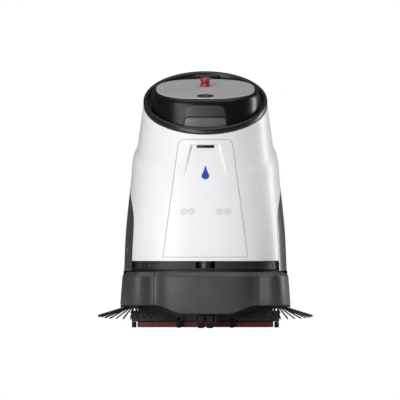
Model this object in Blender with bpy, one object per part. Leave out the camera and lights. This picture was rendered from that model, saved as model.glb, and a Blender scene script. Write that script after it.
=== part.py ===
"""Robotic floor cleaner: an upright scrubbing robot for commercial floors, as separate sub-parts.

Metres, +Z up. The front faces -Y and the origin lies on the floor, under the middle of the outline.
"left" and "right" are the machine's own sides: left is +X.
"""

import math

import bmesh
import bpy
from mathutils import Matrix, Vector

# ---------------------------------------------------------------- driving dimensions

GAP = 0.0003  # clearance between pieces that touch
SHELL_WALL = 0.004
SEAM = 0.0015

# Body skin, rows of (height at the side, half width, front y, rear y)
SKIN_ROWS = (
    (0.220, 0.3166, -0.386, 0.361),
    (0.368, 0.3100, -0.366, 0.350),
    (0.466, 0.3010, -0.346, 0.340),
    (0.554, 0.2912, -0.325, 0.329),
    (0.640, 0.2838, -0.300, 0.316),
    (0.668, 0.2785, -0.291, 0.311),
    (0.691, 0.2665, -0.284, 0.307),
    (0.760, 0.2560, -0.262, 0.292),
    (0.8645, 0.2418, -0.2346, 0.2646),
)
SHELL_TOP = 0.8645
FRONT_SHELL_BOTTOM = 0.261
REAR_SHELL_BOTTOM = 0.2225
SLANT_START = 0.30
DOOR_TOP = 0.554
DOOR_ROWS = (0.2225, 0.261, 0.330, 0.400, 0.455, 0.500, 0.527, 0.542, 0.5495)
DOOR_MIDDLE = math.radians(93)
DOOR_FRONT_REACH = math.radians(33)
DOOR_REAR_REACH = math.radians(25)

# Collar ring and the slanted plane that it lies in
RING_CENTRE_Y = 0.015
RING_CENTRE_Z = 0.876
RING_SLOPE = 0.458
RING_HALF_WIDTH = 0.2334
RING_HALF_DEPTH = 0.2417
RING_RADIAL = 0.0083
RING_VERTICAL = 0.0105

# Head (the lid inside the ring) and its sloping top plate
HEAD_CENTRE_Y = 0.011
HEAD_HALF_WIDTH = 0.211
HEAD_HALF_DEPTH = 0.201
HEAD_POWER = 2.5  # of the head's rounded outline: 2 is an ellipse
HEAD_SHOULDER = 0.030
PLATE_HALF_WIDTH = 0.1915
PLATE_HALF_DEPTH = 0.186
PLATE_FRONT_Y = -0.185
PLATE_FRONT_Z = 0.8896
PLATE_SLOPE = 0.205
PLATE_TILT = math.atan(PLATE_SLOPE)
PLATE_THICK = 0.003
HEAD_AXIS = (0.0, 0.234, 0.9775)
TAB_HALF = 0.081
TAB_TOP = 0.815
TAB_STAND = 0.0005
TAB_THICK = 0.005
START_Y = -0.130
START_RADIUS = 0.0325
ESTOP_Y = 0.062

# Service panel and sensors of the front
PANEL_TOP = 0.7316
PANEL_BOTTOM = 0.277
PANEL_TOP_HALF = 0.1025
PANEL_BOTTOM_HALF = 0.164
PANEL_CORNER = 0.020
SCOOP_DEPTH = 0.014
SONAR_RADIUS = 0.0125
SONAR_HEIGHT = 0.453
SONAR_X = (0.055, 0.085)
CAMERA_Z = 0.704

# Rear of the body
SCREEN_CENTRE = Vector((0.0, 0.2925, 0.865))
SCREEN_TURN = Matrix.Rotation(math.radians(11.5), 3, "X")
SCREEN_SIZE = (0.180, 0.026, 0.110)
HANDLE_RADIUS = 0.013
HANDLE_HALF = 0.135
HANDLE_Z = 0.765
HANDLE_REAR = 0.424
HANDLE_BEND = 0.045

# Running gear
CHASSIS_BOTTOM = 0.205
CHASSIS_TOP = 0.2252
JACK_PAD = (0.090, 0.060, 0.004)
JACK_PAD_Y = 0.120
BAY_INSET = 0.008
BAY_WALL = 0.016
SKIRT_LOW = 0.078
SKIRT_REAR_LOW = 0.125
SKIRT_TOP = 0.2215
DRIVE_RADIUS = 0.100
DRIVE_WIDTH = 0.044
DRIVE_X = 0.235
DRIVE_Y = 0.190
CASTER_RADIUS = 0.0375
CASTER_Y = -0.315
CASTER_TRAIL = 0.025
CASTER_WHEEL_X = 0.0172

# Cleaning tools
DECK_HALF = 0.262
DECK_FRONT = -0.115
DECK_REAR = 0.075
DECK_BOTTOM = 0.0233
DECK_TOP = 0.110
ROLLER_RADIUS = 0.0495
ROLLER_Y = -0.020
BRUSH_X = 0.275
BRUSH_Y = -0.270
BRUSH_Z = 0.090
BRUSH_RADIUS = 0.1455
BRUSH_TILT = math.radians(4)
BRUSH_TUFTS = 18
HUB_PROFILE = ((0, 0.008), (0.022, 0.008), (0.026, 0.003), (0.026, -0.012), (0, -0.012))
RING_PROFILE = ((0.0264, 0.000), (0.0310, -0.001), (0.0325, -0.004), (0.0325, -0.010), (0.0264, -0.012))
GAUGE_X = 0.103
GAUGE_Y = -0.142
GAUGE_RADIUS = 0.018
END_ROLLER_X = 0.277
END_ROLLER_Y = -0.100
SQUEEGEE_Y = 0.3175

# Bumper: plan points from the middle outwards, and a section as (step inwards, share of height)
BUMPER_CENTRE = ((0.0, -0.4375), (0.048, -0.4368), (0.092, -0.4348), (0.128, -0.4305), (0.152, -0.4240),
                 (0.168, -0.4150), (0.180, -0.4060), (0.191, -0.4005), (0.2003, -0.3985))
BUMPER_CORNER = ((0.2013, -0.3983), (0.213, -0.3975), (0.228, -0.4010), (0.246, -0.4060), (0.264, -0.4055),
                 (0.281, -0.3980), (0.296, -0.3830), (0.308, -0.3600), (0.3165, -0.3250), (0.3225, -0.2800),
                 (0.3270, -0.2250), (0.3298, -0.1700), (0.3310, -0.1200))
BUMPER_SECTION = (
    (0.0, 0.0), (0.0, 0.5), (0.0, 1.0), (0.024, 1.155), (0.024, 1.12), (0.014, 1.02), (0.014, 0.0),
)
BUMPER_TOP = 0.2018
BUMPER_LOW = 0.0565
BUMPER_SIDE_LOW = 0.089

# ---------------------------------------------------------------- scene and helpers

for old in list(bpy.data.objects):
    bpy.data.objects.remove(old, do_unlink=True)


def make_finish(name, colour, roughness, metallic=0.0):
    finish = bpy.data.materials.new(name)
    finish.use_nodes = True
    shader = finish.node_tree.nodes["Principled BSDF"]
    shader.inputs["Base Color"].default_value = (*colour, 1.0)
    shader.inputs["Roughness"].default_value = roughness
    shader.inputs["Metallic"].default_value = metallic
    return finish


def add_object(name, bm, finish, origin=(0.0, 0.0, 0.0)):
    """A node from a bmesh in world space, with its origin moved to its joint's axis."""
    mesh = bpy.data.meshes.new(name)
    bm.to_mesh(mesh)
    bm.free()
    mesh.shade_smooth()
    mesh.set_sharp_from_angle(angle=math.radians(35))
    mesh.materials.append(finish)
    mesh.transform(Matrix.Translation(-Vector(origin)))
    obj = bpy.data.objects.new(name, mesh)
    obj.location = origin
    bpy.context.scene.collection.objects.link(obj)
    return obj


def add_tool(name, bm):
    """A cutter or a piece to be joined on: seen only by the Boolean that uses it."""
    obj = add_object(name, bm, HIDDEN)
    obj.hide_render = True
    obj.display_type = "WIRE"
    return obj


def combine(obj, operation, tools):
    for index, tool in enumerate(tools):
        change = obj.modifiers.new(f"{operation.lower()}_{index}", "BOOLEAN")
        change.operation = operation
        change.solver = "EXACT"
        change.object = tool


def cut(obj, *tools):
    combine(obj, "DIFFERENCE", tools)


def join(obj, *tools):
    combine(obj, "UNION", tools)


def thicken(obj, wall=SHELL_WALL):
    solid = obj.modifiers.new("wall", "SOLIDIFY")
    solid.thickness = wall
    solid.offset = -1.0


def block(size, centre, bevel=0.0, segments=1):
    bm = bmesh.new()
    bmesh.ops.create_cube(bm, size=1.0)
    bmesh.ops.scale(bm, vec=size, verts=bm.verts)
    if bevel:
        edges = list(bm.edges)
        bmesh.ops.bevel(bm, geom=edges, offset=bevel, segments=segments, affect="EDGES", profile=0.5)
    bmesh.ops.translate(bm, vec=centre, verts=bm.verts)
    return bm


def turned(profile, segments, centre=(0.0, 0.0, 0.0), axis="Z", tilt=0.0):
    """A solid of revolution. The profile is a closed chain of (radius, height)."""
    bm = bmesh.new()
    points = [bm.verts.new((radius, 0.0, height)) for radius, height in profile]
    edges = [bm.edges.new(pair) for pair in zip(points, points[1:])]
    if profile[0][0] > 0:
        edges.append(bm.edges.new((points[-1], points[0])))
    chain = points + edges
    round_z = {"cent": (0, 0, 0), "axis": (0, 0, 1), "angle": math.tau}
    bmesh.ops.spin(bm, geom=chain, steps=segments, use_merge=True, **round_z)
    bmesh.ops.remove_doubles(bm, verts=bm.verts, dist=1e-6)
    bmesh.ops.recalc_face_normals(bm, faces=bm.faces)
    if axis == "X":
        bmesh.ops.rotate(bm, verts=bm.verts, matrix=Matrix.Rotation(math.pi / 2, 3, "Y"))
    if tilt:
        bmesh.ops.rotate(bm, verts=bm.verts, matrix=Matrix.Rotation(tilt, 3, "X"))
    bmesh.ops.translate(bm, vec=centre, verts=bm.verts)
    return bm


def disc(radius, low, high, chamfer=0.0):
    """Profile of a plain cylinder for turned()."""
    if not chamfer:
        return [(0, high), (radius, high), (radius, low), (0, low)]
    inner = radius - chamfer
    upper = [(0, high), (inner, high), (radius, high - chamfer)]
    return upper + [(radius, low + chamfer), (inner, low), (0, low)]


def mapped(columns, rows, place, wrap=False, capped=False):
    """A grid laid onto place(u, v), both from 0 to 1, and closed where asked."""
    bm = bmesh.new()
    bmesh.ops.create_grid(bm, x_segments=columns, y_segments=rows, size=0.5)
    for vert in bm.verts:
        vert.co = place(vert.co.x + 0.5, vert.co.y + 0.5)
    if wrap:
        bmesh.ops.remove_doubles(bm, verts=bm.verts, dist=1e-6)
    if capped:
        open_edges = [edge for edge in bm.edges if edge.is_boundary]
        bmesh.ops.holes_fill(bm, edges=open_edges, sides=0)
    if wrap and (capped or not any(edge.is_boundary for edge in bm.edges)):
        bmesh.ops.recalc_face_normals(bm, faces=bm.faces)
    else:
        bm.normal_update()
        outward = sum(face.normal.dot(face.calc_center_median() - BODY_MIDDLE) for face in bm.faces)
        if outward < 0:
            bmesh.ops.reverse_faces(bm, faces=bm.faces)
    return bm


def prism(outline, low, high, axis="Z"):
    """An outline of (x, y) points, extruded from low to high along Z, or (x, z) points along Y."""
    bm = bmesh.new()
    if axis == "Z":
        corners = [(x, y, low) for x, y in outline]
        way = (0, 0, high - low)
    else:
        corners = [(x, low, z) for x, z in outline]
        way = (0, high - low, 0)
    base = bm.faces.new([bm.verts.new(corner) for corner in corners])
    grown = bmesh.ops.extrude_face_region(bm, geom=[base])
    bmesh.ops.translate(bm, vec=way, verts=[g for g in grown["geom"] if isinstance(g, bmesh.types.BMVert)])
    bmesh.ops.recalc_face_normals(bm, faces=bm.faces)
    return bm


def clamp(value, low=0.0, high=1.0):
    return min(max(value, low), high)


def ease(value):
    value = clamp(value)
    return value * value * (3 - 2 * value)


def signed_power(value, power):
    return math.copysign(abs(value) ** power, value)


def between(rows, key):
    """Values of a smooth curve through rows of (key, value, ...)."""
    last = len(rows) - 2
    index = next((i for i in range(last) if key < rows[i + 1][0]), last)
    before, low, high, after = (rows[clamp(i, 0, last + 1)] for i in range(index - 1, index + 3))
    span = high[0] - low[0]
    t = clamp((key - low[0]) / span)
    values = []
    for a, b, c, d in zip(before[1:], low[1:], high[1:], after[1:]):
        slope_low = (c - a) / (high[0] - before[0]) * span
        slope_high = (d - b) / (after[0] - low[0]) * span
        values.append(
            (2 * t**3 - 3 * t**2 + 1) * b
            + (t**3 - 2 * t**2 + t) * slope_low
            + (3 * t**2 - 2 * t**3) * c
            + (t**3 - t**2) * slope_high
        )
    return values


BODY_MIDDLE = Vector((0.0, 0.0, 0.5))
HIDDEN = make_finish("hidden", (1.0, 0.3, 0.3), 0.5)
WHITE = make_finish("white_shell", (0.80, 0.80, 0.81), 0.32)
BLACK = make_finish("black_gloss", (0.035, 0.035, 0.037), 0.22)
DARK = make_finish("dark_satin", (0.07, 0.07, 0.072), 0.42)
GREY = make_finish("grey_plate", (0.33, 0.33, 0.34), 0.38)
RED = make_finish("signal_red", (0.34, 0.02, 0.025), 0.35)
SKIRT_RED = make_finish("red_rubber", (0.13, 0.022, 0.026), 0.55)
RUBBER = make_finish("black_rubber", (0.02, 0.02, 0.02), 0.75)
METAL = make_finish("zinc_steel", (0.45, 0.46, 0.47), 0.35, 1.0)
TANK = make_finish("tank_plastic", (0.55, 0.57, 0.60), 0.50)


# ---------------------------------------------------------------- body skin


def skin(height, turn, inset=0.0):
    """A point of the body's skin. turn is 0 at the front, 90 degrees at the left, 180 at the rear."""
    half_width, front, rear = between(SKIN_ROWS, height)
    rise = clamp((height - SKIN_ROWS[0][0]) / (SHELL_TOP - SKIN_ROWS[0][0]))
    power = 2.0 / (3.0 - rise)
    centre_y = (front + rear) / 2
    depth = (rear - front) / 2 - inset
    x = (half_width - inset) * signed_power(math.sin(turn), power)
    y = centre_y - depth * signed_power(math.cos(turn), power)
    slant = RING_SLOPE * clamp((height - SLANT_START) / (SHELL_TOP - SLANT_START)) ** 1.5
    return Vector((x, y, height + slant * (y - centre_y)))


def skin_normal(height, turn):
    step = 0.002
    along = skin(height, turn + step) - skin(height, turn - step)
    up = skin(height + step, turn) - skin(height - step, turn)
    return along.cross(up).normalized()


def scoop(x, z):
    """Depth of the shallow scoop round the depth camera: deepest at its top, running out below."""
    fall = clamp((z - 0.578) / 0.125)
    outer = 0.058 + (0.7145 - z) * 0.217
    inner = 0.047 + (0.7145 - z) * 0.260
    side = 1 - ease((abs(x) - inner) / (outer - inner))
    top = 1 - ease((z - 0.7035) / 0.011)
    return SCOOP_DEPTH * fall * side * top


def front_point(x, z):
    """The skin's point at this x and z on the front."""
    height = z
    for _ in range(12):
        half_width = between(SKIN_ROWS, height)[0]
        rise = clamp((height - SKIN_ROWS[0][0]) / (SHELL_TOP - SKIN_ROWS[0][0]))
        turn = math.asin(clamp(abs(x) / half_width) ** ((3.0 - rise) / 2))
        point = skin(height, turn)
        height += z - point.z
    return Vector((x, point.y + scoop(x, z), z))


def door_share(height):
    """How much of the side door's width is left at this height: 1 at the bottom, 0 at its arched top."""
    return 1 - clamp((height - FRONT_SHELL_BOTTOM) / (DOOR_TOP - FRONT_SHELL_BOTTOM)) ** 4.8


def panel_half(z, grow=0.0):
    """Half width of the service panel, with rounded top corners."""
    share = (z - PANEL_BOTTOM) / (PANEL_TOP - PANEL_BOTTOM)
    straight = PANEL_BOTTOM_HALF + (PANEL_TOP_HALF - PANEL_BOTTOM_HALF) * share
    radius = PANEL_CORNER + grow
    into = clamp((z - (PANEL_TOP + grow - radius)) / radius)
    return straight + grow - radius * (1 - math.sqrt(1 - into * into))


def panel_heights(grow=0.0):
    low = PANEL_BOTTOM - grow
    knee = PANEL_TOP - PANEL_CORNER
    straight = [low + (knee - low) * share for share in (0, 0.22, 0.40, 0.55, 0.68, 0.78, 0.86, 0.93, 1)]
    arc = [knee + (PANEL_CORNER + grow) * math.sin(math.radians(a)) for a in (30, 60, 90)]
    return straight + arc


def shell_rows(bottom, above):
    """Heights of a shell's rows: those of the doors, so that the seams run together, and some above."""
    rows = [height for height in DOOR_ROWS if height >= bottom] + [0.5525, DOOR_TOP + 0.0005]
    start = rows[-1]
    return rows + [start + (SHELL_TOP - start) * i / above for i in range(1, above + 1)]


def front_shell():
    heights = shell_rows(FRONT_SHELL_BOTTOM, 9)

    def place(u, v):
        height = heights[round(v * (len(heights) - 1))]
        edge = DOOR_MIDDLE - DOOR_FRONT_REACH * door_share(height) - SEAM / 0.31
        return skin(height, (2 * u - 1) * edge)

    shell = add_object("front_shell", mapped(20, len(heights) - 1, place), WHITE)
    thicken(shell)
    right = [(panel_half(z, SEAM), z) for z in panel_heights(SEAM)]
    left = [(-x, z) for x, z in reversed(right)]
    cut(shell, add_tool("panel_opening", prism(right + left, -0.45, -0.16, "Y")))


def rear_shell():
    heights = shell_rows(REAR_SHELL_BOTTOM, 7)

    def place(u, v):
        height = heights[round(v * (len(heights) - 1))]
        edge = DOOR_MIDDLE + DOOR_REAR_REACH * door_share(height) + SEAM / 0.31
        return skin(height, edge + u * (math.tau - 2 * edge))

    shell = add_object("rear_shell", mapped(18, len(heights) - 1, place), WHITE)
    thicken(shell)
    screen_hole = block((0.1812, 0.060, 0.1112), (0, 0, 0))
    bmesh.ops.rotate(screen_hole, verts=screen_hole.verts, matrix=SCREEN_TURN)
    bmesh.ops.translate(screen_hole, verts=screen_hole.verts, vec=SCREEN_CENTRE)
    sleeves = []
    for side in (1, -1):
        hole = turned(disc(HANDLE_RADIUS + 0.001, -0.08, 0.08), 16)
        bmesh.ops.rotate(hole, verts=hole.verts, matrix=Matrix.Rotation(math.pi / 2, 3, "X"))
        bmesh.ops.translate(hole, verts=hole.verts, vec=(side * HANDLE_HALF, 0.28, HANDLE_Z))
        sleeves.append(add_tool(f"handle_hole_{side}", hole))
    cut(shell, add_tool("screen_hole", screen_hole), *sleeves)


def service_panel():
    heights = panel_heights()

    def place(u, v):
        z = heights[round(v * (len(heights) - 1))]
        return front_point((2 * u - 1) * max(panel_half(z), 0.0005), z)

    panel = add_object("service_panel", mapped(14, len(heights) - 1, place), WHITE)
    thicken(panel, 0.0035)
    tools = []
    slot = block((0.0694, 0.06, 0.0110), front_point(0, CAMERA_Z))
    tools.append(add_tool("camera_slot", slot))
    for x in SONAR_X:
        for side in (1, -1):
            hole = sonar_disc(side * x, SONAR_RADIUS + GAP, -0.02, 0.02)
            tools.append(add_tool(f"sonar_hole_{side * x:.3f}", hole))
    cut(panel, *tools)


def sonar_disc(x, radius, back, front):
    rise = front_point(0, SONAR_HEIGHT + 0.01).y - front_point(0, SONAR_HEIGHT - 0.01).y
    tilt = math.pi / 2 - math.atan2(rise, 0.02)
    bm = turned(disc(radius, back, front), 16)
    bmesh.ops.rotate(bm, verts=bm.verts, matrix=Matrix.Rotation(tilt, 3, "X"))
    centre = front_point(x, SONAR_HEIGHT)
    bmesh.ops.translate(bm, verts=bm.verts, vec=centre)
    return bm


def ultrasonic_pairs():
    for name, side in (("left", 1), ("right", -1)):
        caps = [sonar_disc(side * x, SONAR_RADIUS, -0.016, 0.0012) for x in SONAR_X]
        middle = side * sum(SONAR_X) / 2
        bridge = block((0.056, 0.006, 0.020), front_point(middle, SONAR_HEIGHT) + Vector((0, 0.0150, 0)))
        pair = add_object(f"ultrasonic_pair_{name}", bridge, DARK)
        join(pair, *(add_tool(f"cap_{name}_{i}", cap) for i, cap in enumerate(caps)))


def side_doors():
    heights = DOOR_ROWS
    for name, side in (("left", 1), ("right", -1)):

        def place(u, v, side=side):
            height = heights[round(v * (len(heights) - 1))]
            share = door_share(height)
            front = DOOR_MIDDLE - DOOR_FRONT_REACH * share + SEAM / 0.31
            rear = DOOR_MIDDLE + DOOR_REAR_REACH * share - SEAM / 0.31
            point = skin(height, front + u * (rear - front))
            return Vector((side * point.x, point.y, point.z))

        door = add_object(f"side_panel_{name}", mapped(8, len(heights) - 1, place), BLACK, door_axis(side))
        thicken(door)
        turn = latch_frame(side)
        hole = block((0.0206, 0.030, 0.0286), (0, 0, 0))
        bmesh.ops.transform(hole, matrix=turn, verts=hole.verts)
        cut(door, add_tool(f"latch_hole_{name}", hole))
        latch = block((0.020, 0.010, 0.028), (0, 0.0035, 0), 0.0015)
        bmesh.ops.transform(latch, matrix=turn, verts=latch.verts)
        add_object(f"side_latch_{name}", latch, DARK, turn.translation)


def door_axis(side):
    return Vector((side * 0.300, 0.222, REAR_SHELL_BOTTOM))


def latch_frame(side):
    """Place of the latch button in the door: its local -Y points outwards."""
    turn = math.radians(70)
    point = skin(0.303, turn)
    normal = skin_normal(0.303, turn)
    if normal.x < 0:
        normal = -normal
    point.x *= side
    normal.x *= side
    inward = -normal
    across = inward.cross(Vector((0, 0, 1))).normalized()
    up = across.cross(inward)
    frame = Matrix((across, inward, up)).transposed().to_4x4()
    frame.translation = point
    return frame


front_shell()
rear_shell()
service_panel()
ultrasonic_pairs()
side_doors()


def depth_camera():
    window = block((0.0674, 0.010, 0.0088), front_point(0, CAMERA_Z) + Vector((0, 0.0062, 0)), 0.0012)
    add_object("depth_camera_window", window, BLACK)


def display():
    screen = block(SCREEN_SIZE, (0, 0, 0), 0.004, 2)
    bmesh.ops.rotate(screen, verts=screen.verts, matrix=SCREEN_TURN)
    bmesh.ops.translate(screen, verts=screen.verts, vec=SCREEN_CENTRE)
    add_object("display_screen", screen, BLACK)


def push_handle():
    """A bent tube through the rear shell."""
    bend = HANDLE_BEND
    corner_x = HANDLE_HALF - bend
    corner_y = HANDLE_REAR - bend
    arc = [math.radians(a) for a in (0, 18, 36, 54, 72, 90)]
    left = [(HANDLE_HALF, 0.235), (HANDLE_HALF, 0.31)]
    left += [(corner_x + bend * math.cos(a), corner_y + bend * math.sin(a)) for a in arc]
    path = left + [(-x, y) for x, y in reversed(left)]
    curve = bpy.data.curves.new("push_handle", "CURVE")
    curve.dimensions = "3D"
    spline = curve.splines.new("POLY")
    spline.points.add(len(path) - 1)
    for point, (x, y) in zip(spline.points, path):
        point.co = (x, y, HANDLE_Z, 1)
    curve.bevel_depth = HANDLE_RADIUS
    curve.bevel_resolution = 3
    curve.use_fill_caps = True
    curve.materials.append(RUBBER)
    bpy.context.scene.collection.objects.link(bpy.data.objects.new("push_handle", curve))


depth_camera()
display()
push_handle()


# ---------------------------------------------------------------- collar ring, top deck and head


def ring_plane(y):
    return RING_CENTRE_Z + RING_SLOPE * (y - RING_CENTRE_Y)


def plate_plane(y):
    return PLATE_FRONT_Z + PLATE_SLOPE * (y - PLATE_FRONT_Y)


def collar_ring():
    def place(u, v):
        turn = math.tau * u
        about = math.tau * v
        out = RING_RADIAL * signed_power(math.cos(about), 0.6)
        up = RING_VERTICAL * signed_power(math.sin(about), 0.6)
        x = (RING_HALF_WIDTH + out) * math.sin(turn)
        y = RING_CENTRE_Y - (RING_HALF_DEPTH + out) * math.cos(turn)
        return Vector((x, y, ring_plane(y) + up))

    add_object("collar_ring", mapped(40, 8, place, wrap=True), BLACK)


def oval(u, share, half_width, half_depth, centre_y, power):
    """A point of a superellipse, u of the way round from the front, at this share of its size."""
    x = share * half_width * signed_power(math.sin(math.tau * u), 2 / power)
    y = centre_y - share * half_depth * signed_power(math.cos(math.tau * u), 2 / power)
    return x, y


def slanted_disc(half_width, half_depth, centre_y, power, plane, low, high, ease_in=0.0):
    """A plate of even vertical thickness that follows a sloping plane."""
    rim = high - ease_in * half_width
    section = ((0, high), (1 - ease_in, high), (1, rim), (1, low), (0, low))

    def place(u, v):
        share, level = section[round(v * 4)]
        x, y = oval(u, share, half_width, half_depth, centre_y, power)
        return Vector((x, y, plane(y) + level))

    return mapped(36, 4, place, wrap=True)


def top_deck():
    deck_bm = slanted_disc(0.2246, 0.2329, RING_CENTRE_Y, 2.0, ring_plane, -0.013, -0.009)
    deck = add_object("top_deck", deck_bm, DARK)
    cut(deck, add_tool("filler_hole", turned(disc(0.085, 0.80, 1.00), 32, (0, 0.06, 0))))


def head_shoulder(y):
    """Depth of the head's rounded shoulder: less towards the rear, where its wall is low."""
    wall = plate_plane(y) - ring_plane(y)
    return min(HEAD_SHOULDER, 0.5 * wall)


def head_shell():
    """A shallow drum between the ring's plane and the plate's, with a rounded shoulder."""
    under = -0.0115
    inside = [(0.0, plate_plane, under, 0.0), (0.88, plate_plane, under, 0.0)]
    inside.append((0.94, plate_plane, under, 0.3))
    lip = [(0.968, plate_plane, under, 0.9), (0.974, ring_plane, -0.005, 0.0), (1.0, ring_plane, -0.005, 0.0)]
    shoulder = []
    for angle in (90, 60, 30, 0):
        turn = math.radians(angle)
        shoulder.append((0.915 + 0.085 * math.sin(turn), plate_plane, -0.0036, 1 - math.cos(turn)))
    levels = inside + lip + shoulder + [(0.0, plate_plane, -0.0036, 0.0)]

    def place(u, v):
        share, plane, level, drop = levels[round(v * (len(levels) - 1))]
        x, y = oval(u, share, HEAD_HALF_WIDTH, HEAD_HALF_DEPTH, HEAD_CENTRE_Y, HEAD_POWER)
        return Vector((x, y, plane(y) + level - drop * head_shoulder(y)))

    head_bm = mapped(36, len(levels) - 1, place, wrap=True)
    head = add_object("head_shell", head_bm, BLACK, HEAD_AXIS)
    cut(head, add_tool("start_pocket", plate_disc(START_Y, START_RADIUS + 0.0008, -0.0086, 0.02)))
    tongue = block((0.080, 0.031, 0.005), (0, 0, 0))
    bmesh.ops.rotate(tongue, verts=tongue.verts, matrix=Matrix.Rotation(math.radians(19), 3, "X"))
    bmesh.ops.translate(tongue, verts=tongue.verts, vec=Vector(HEAD_AXIS) + Vector((0, -0.0165, -0.0088)))
    barrel = turned(disc(0.0075, -0.040, 0.040), 16, HEAD_AXIS, axis="X")
    join(head, add_tool("hinge_tongue", tongue), add_tool("hinge_barrel", barrel))
    pin_bore = turned(disc(0.0033, -0.060, 0.060), 16, HEAD_AXIS, axis="X")
    cut(head, add_tool("hinge_bore", pin_bore))


def plate_disc(y, radius, low, high, chamfer=0.0, x=0.0):
    """A round piece square to the sloping plate, with its heights counted from the plate's face."""
    return turned(disc(radius, low, high, chamfer), 24, (x, y, plate_plane(y)), tilt=PLATE_TILT)


def head_hinge():
    pin = turned(disc(0.003, -0.052, 0.052), 16, HEAD_AXIS, axis="X")
    hinge = add_object("head_hinge", pin, METAL)
    for side in (1, -1):
        ear = block((0.009, 0.012, 0.012), Vector(HEAD_AXIS) + Vector((side * 0.0465, 0, 0)))
        join(hinge, add_tool(f"hinge_ear_{side}", ear))


def head_plate():
    low = -PLATE_THICK - GAP
    size = (PLATE_HALF_WIDTH, PLATE_HALF_DEPTH, HEAD_CENTRE_Y, HEAD_POWER)
    plate_bm = slanted_disc(*size, plate_plane, low, 0.0, ease_in=0.006)
    plate = add_object("head_plate", plate_bm, GREY, HEAD_AXIS)
    cut(plate, add_tool("start_hole", plate_disc(START_Y, START_RADIUS + 0.0008, -0.02, 0.02)))


def grip_tab():
    """The finger tab at the lid's front edge."""
    outside = TAB_STAND + TAB_THICK
    section = ((TAB_STAND, False), (outside, False), (outside, True), (TAB_STAND, True))

    def place(u, v):
        x = (2 * u - 1) * TAB_HALF
        out, is_top = section[round(v * 4) % 4]
        across = (abs(x) / HEAD_HALF_WIDTH) ** HEAD_POWER
        wall = HEAD_CENTRE_Y - HEAD_HALF_DEPTH * (1 - across) ** (1 / HEAD_POWER)
        y = wall - out
        return Vector((x, y, TAB_TOP if is_top else ring_plane(wall) - 0.0035))

    tab_bm = mapped(12, 4, place, wrap=True, capped=True)
    add_object("grip_tab", tab_bm, DARK, HEAD_AXIS)


def emergency_stop():
    seat = (0, ESTOP_Y, plate_plane(ESTOP_Y))
    collar = [(0.0085, 0.0125), (0.0170, 0.0125), (0.0182, 0.0115), (0.0182, 0.0070)]
    collar += [(0.0200, 0.0055), (0.0200, GAP), (0.0085, GAP)]
    add_object("estop_collar", turned(collar, 20, seat, tilt=PLATE_TILT), RED, HEAD_AXIS)
    mushroom = [(0, 0.0345), (0.0165, 0.0340), (0.0203, 0.0310), (0.0203, 0.0245), (0.0180, 0.0228)]
    mushroom += [(0.0188, 0.0212), (0.0188, 0.0180), (0.0175, 0.0170), (0.0080, 0.0170)]
    mushroom += [(0.0080, 0.0050), (0, 0.0050)]
    add_object("estop_button", turned(mushroom, 20, seat, tilt=PLATE_TILT), RED, seat)
    start = plate_disc(START_Y, START_RADIUS, -0.0055, 0.0008, 0.001)
    add_object("start_button", start, BLACK, (0, START_Y, plate_plane(START_Y)))


collar_ring()
top_deck()
head_shell()
head_hinge()
head_plate()
grip_tab()
emergency_stop()


# ---------------------------------------------------------------- chassis, skirt, bumper and sensor bay


def superellipse(half_width, front, rear, power, count):
    centre = (front + rear) / 2
    depth = (rear - front) / 2
    turns = [math.tau * i / count for i in range(count)]
    across = [half_width * signed_power(math.sin(t), 2 / power) for t in turns]
    along = [centre - depth * signed_power(math.cos(t), 2 / power) for t in turns]
    return list(zip(across, along))


def chassis_frame():
    outline = superellipse(0.292, -0.362, 0.350, 3.0, 32)
    chassis = add_object("chassis_frame", prism(outline, CHASSIS_BOTTOM, CHASSIS_TOP), DARK)
    holes = [add_tool("riser_hole", turned(disc(0.0240, 0.19, 0.24), 20, (0, SQUEEGEE_Y, 0)))]
    for side in (1, -1):
        post = turned(disc(0.0112, 0.19, 0.24), 14, (side * 0.190, BRUSH_Y + 0.02, 0))
        holes.append(add_tool(f"post_hole_{side}", post))
    cut(chassis, *holes)
    pad_height = JACK_PAD[2]
    pad_centre = (0, JACK_PAD_Y, CHASSIS_BOTTOM - pad_height / 2 + 0.001)
    join(chassis, add_tool("jack_pad", block((JACK_PAD[0], JACK_PAD[1], pad_height + 0.002), pad_centre)))


def rear_skirt():
    def place(u, v):
        first = math.radians(82)
        turn = first + u * (math.tau - 2 * first)
        half_width = 0.331 - 0.0125 * v
        depth = 0.385 - 0.019 * v
        x = half_width * signed_power(math.sin(turn), 2 / 3)
        y = -depth * signed_power(math.cos(turn), 2 / 3)
        low = SKIRT_LOW + (SKIRT_REAR_LOW - SKIRT_LOW) * ease((y - 0.205) / 0.060)
        return Vector((x, y, low + (SKIRT_TOP - low) * v))

    skirt = add_object("rear_skirt", mapped(28, 2, place), DARK)
    thicken(skirt)
    join(skirt, add_tool("dock_contact", block((0.130, 0.018, 0.050), (0, 0.382, 0.160))))


def bumper_piece(name, plan):
    """Sweeps the bumper's section along its plan, with the lower edge rising towards the sides."""
    count = len(plan) - 1
    points = [Vector((x, y, 0)) for x, y in plan]
    inward = []
    for index in range(count + 1):
        along = points[min(index + 1, count)] - points[max(index - 1, 0)]
        inward.append(Vector((-along.y, along.x, 0)).normalized())

    def place(u, v):
        index = round(u * count)
        step, level = BUMPER_SECTION[round(v * len(BUMPER_SECTION)) % len(BUMPER_SECTION)]
        point = points[index] + inward[index] * step
        low = BUMPER_LOW + (BUMPER_SIDE_LOW - BUMPER_LOW) * ease((abs(points[index].x) - 0.085) / 0.115)
        z = low + (BUMPER_TOP - low) * level if level <= 1 else BUMPER_TOP + (level - 1) * 0.112
        draft = 0.0255 * clamp(level) * (abs(point.x) / 0.331) ** 4
        return Vector((point.x * (1 - draft), point.y, z))

    bumper_bm = mapped(count, len(BUMPER_SECTION), place, wrap=True, capped=True)
    add_object(name, bumper_bm, DARK)


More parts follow.
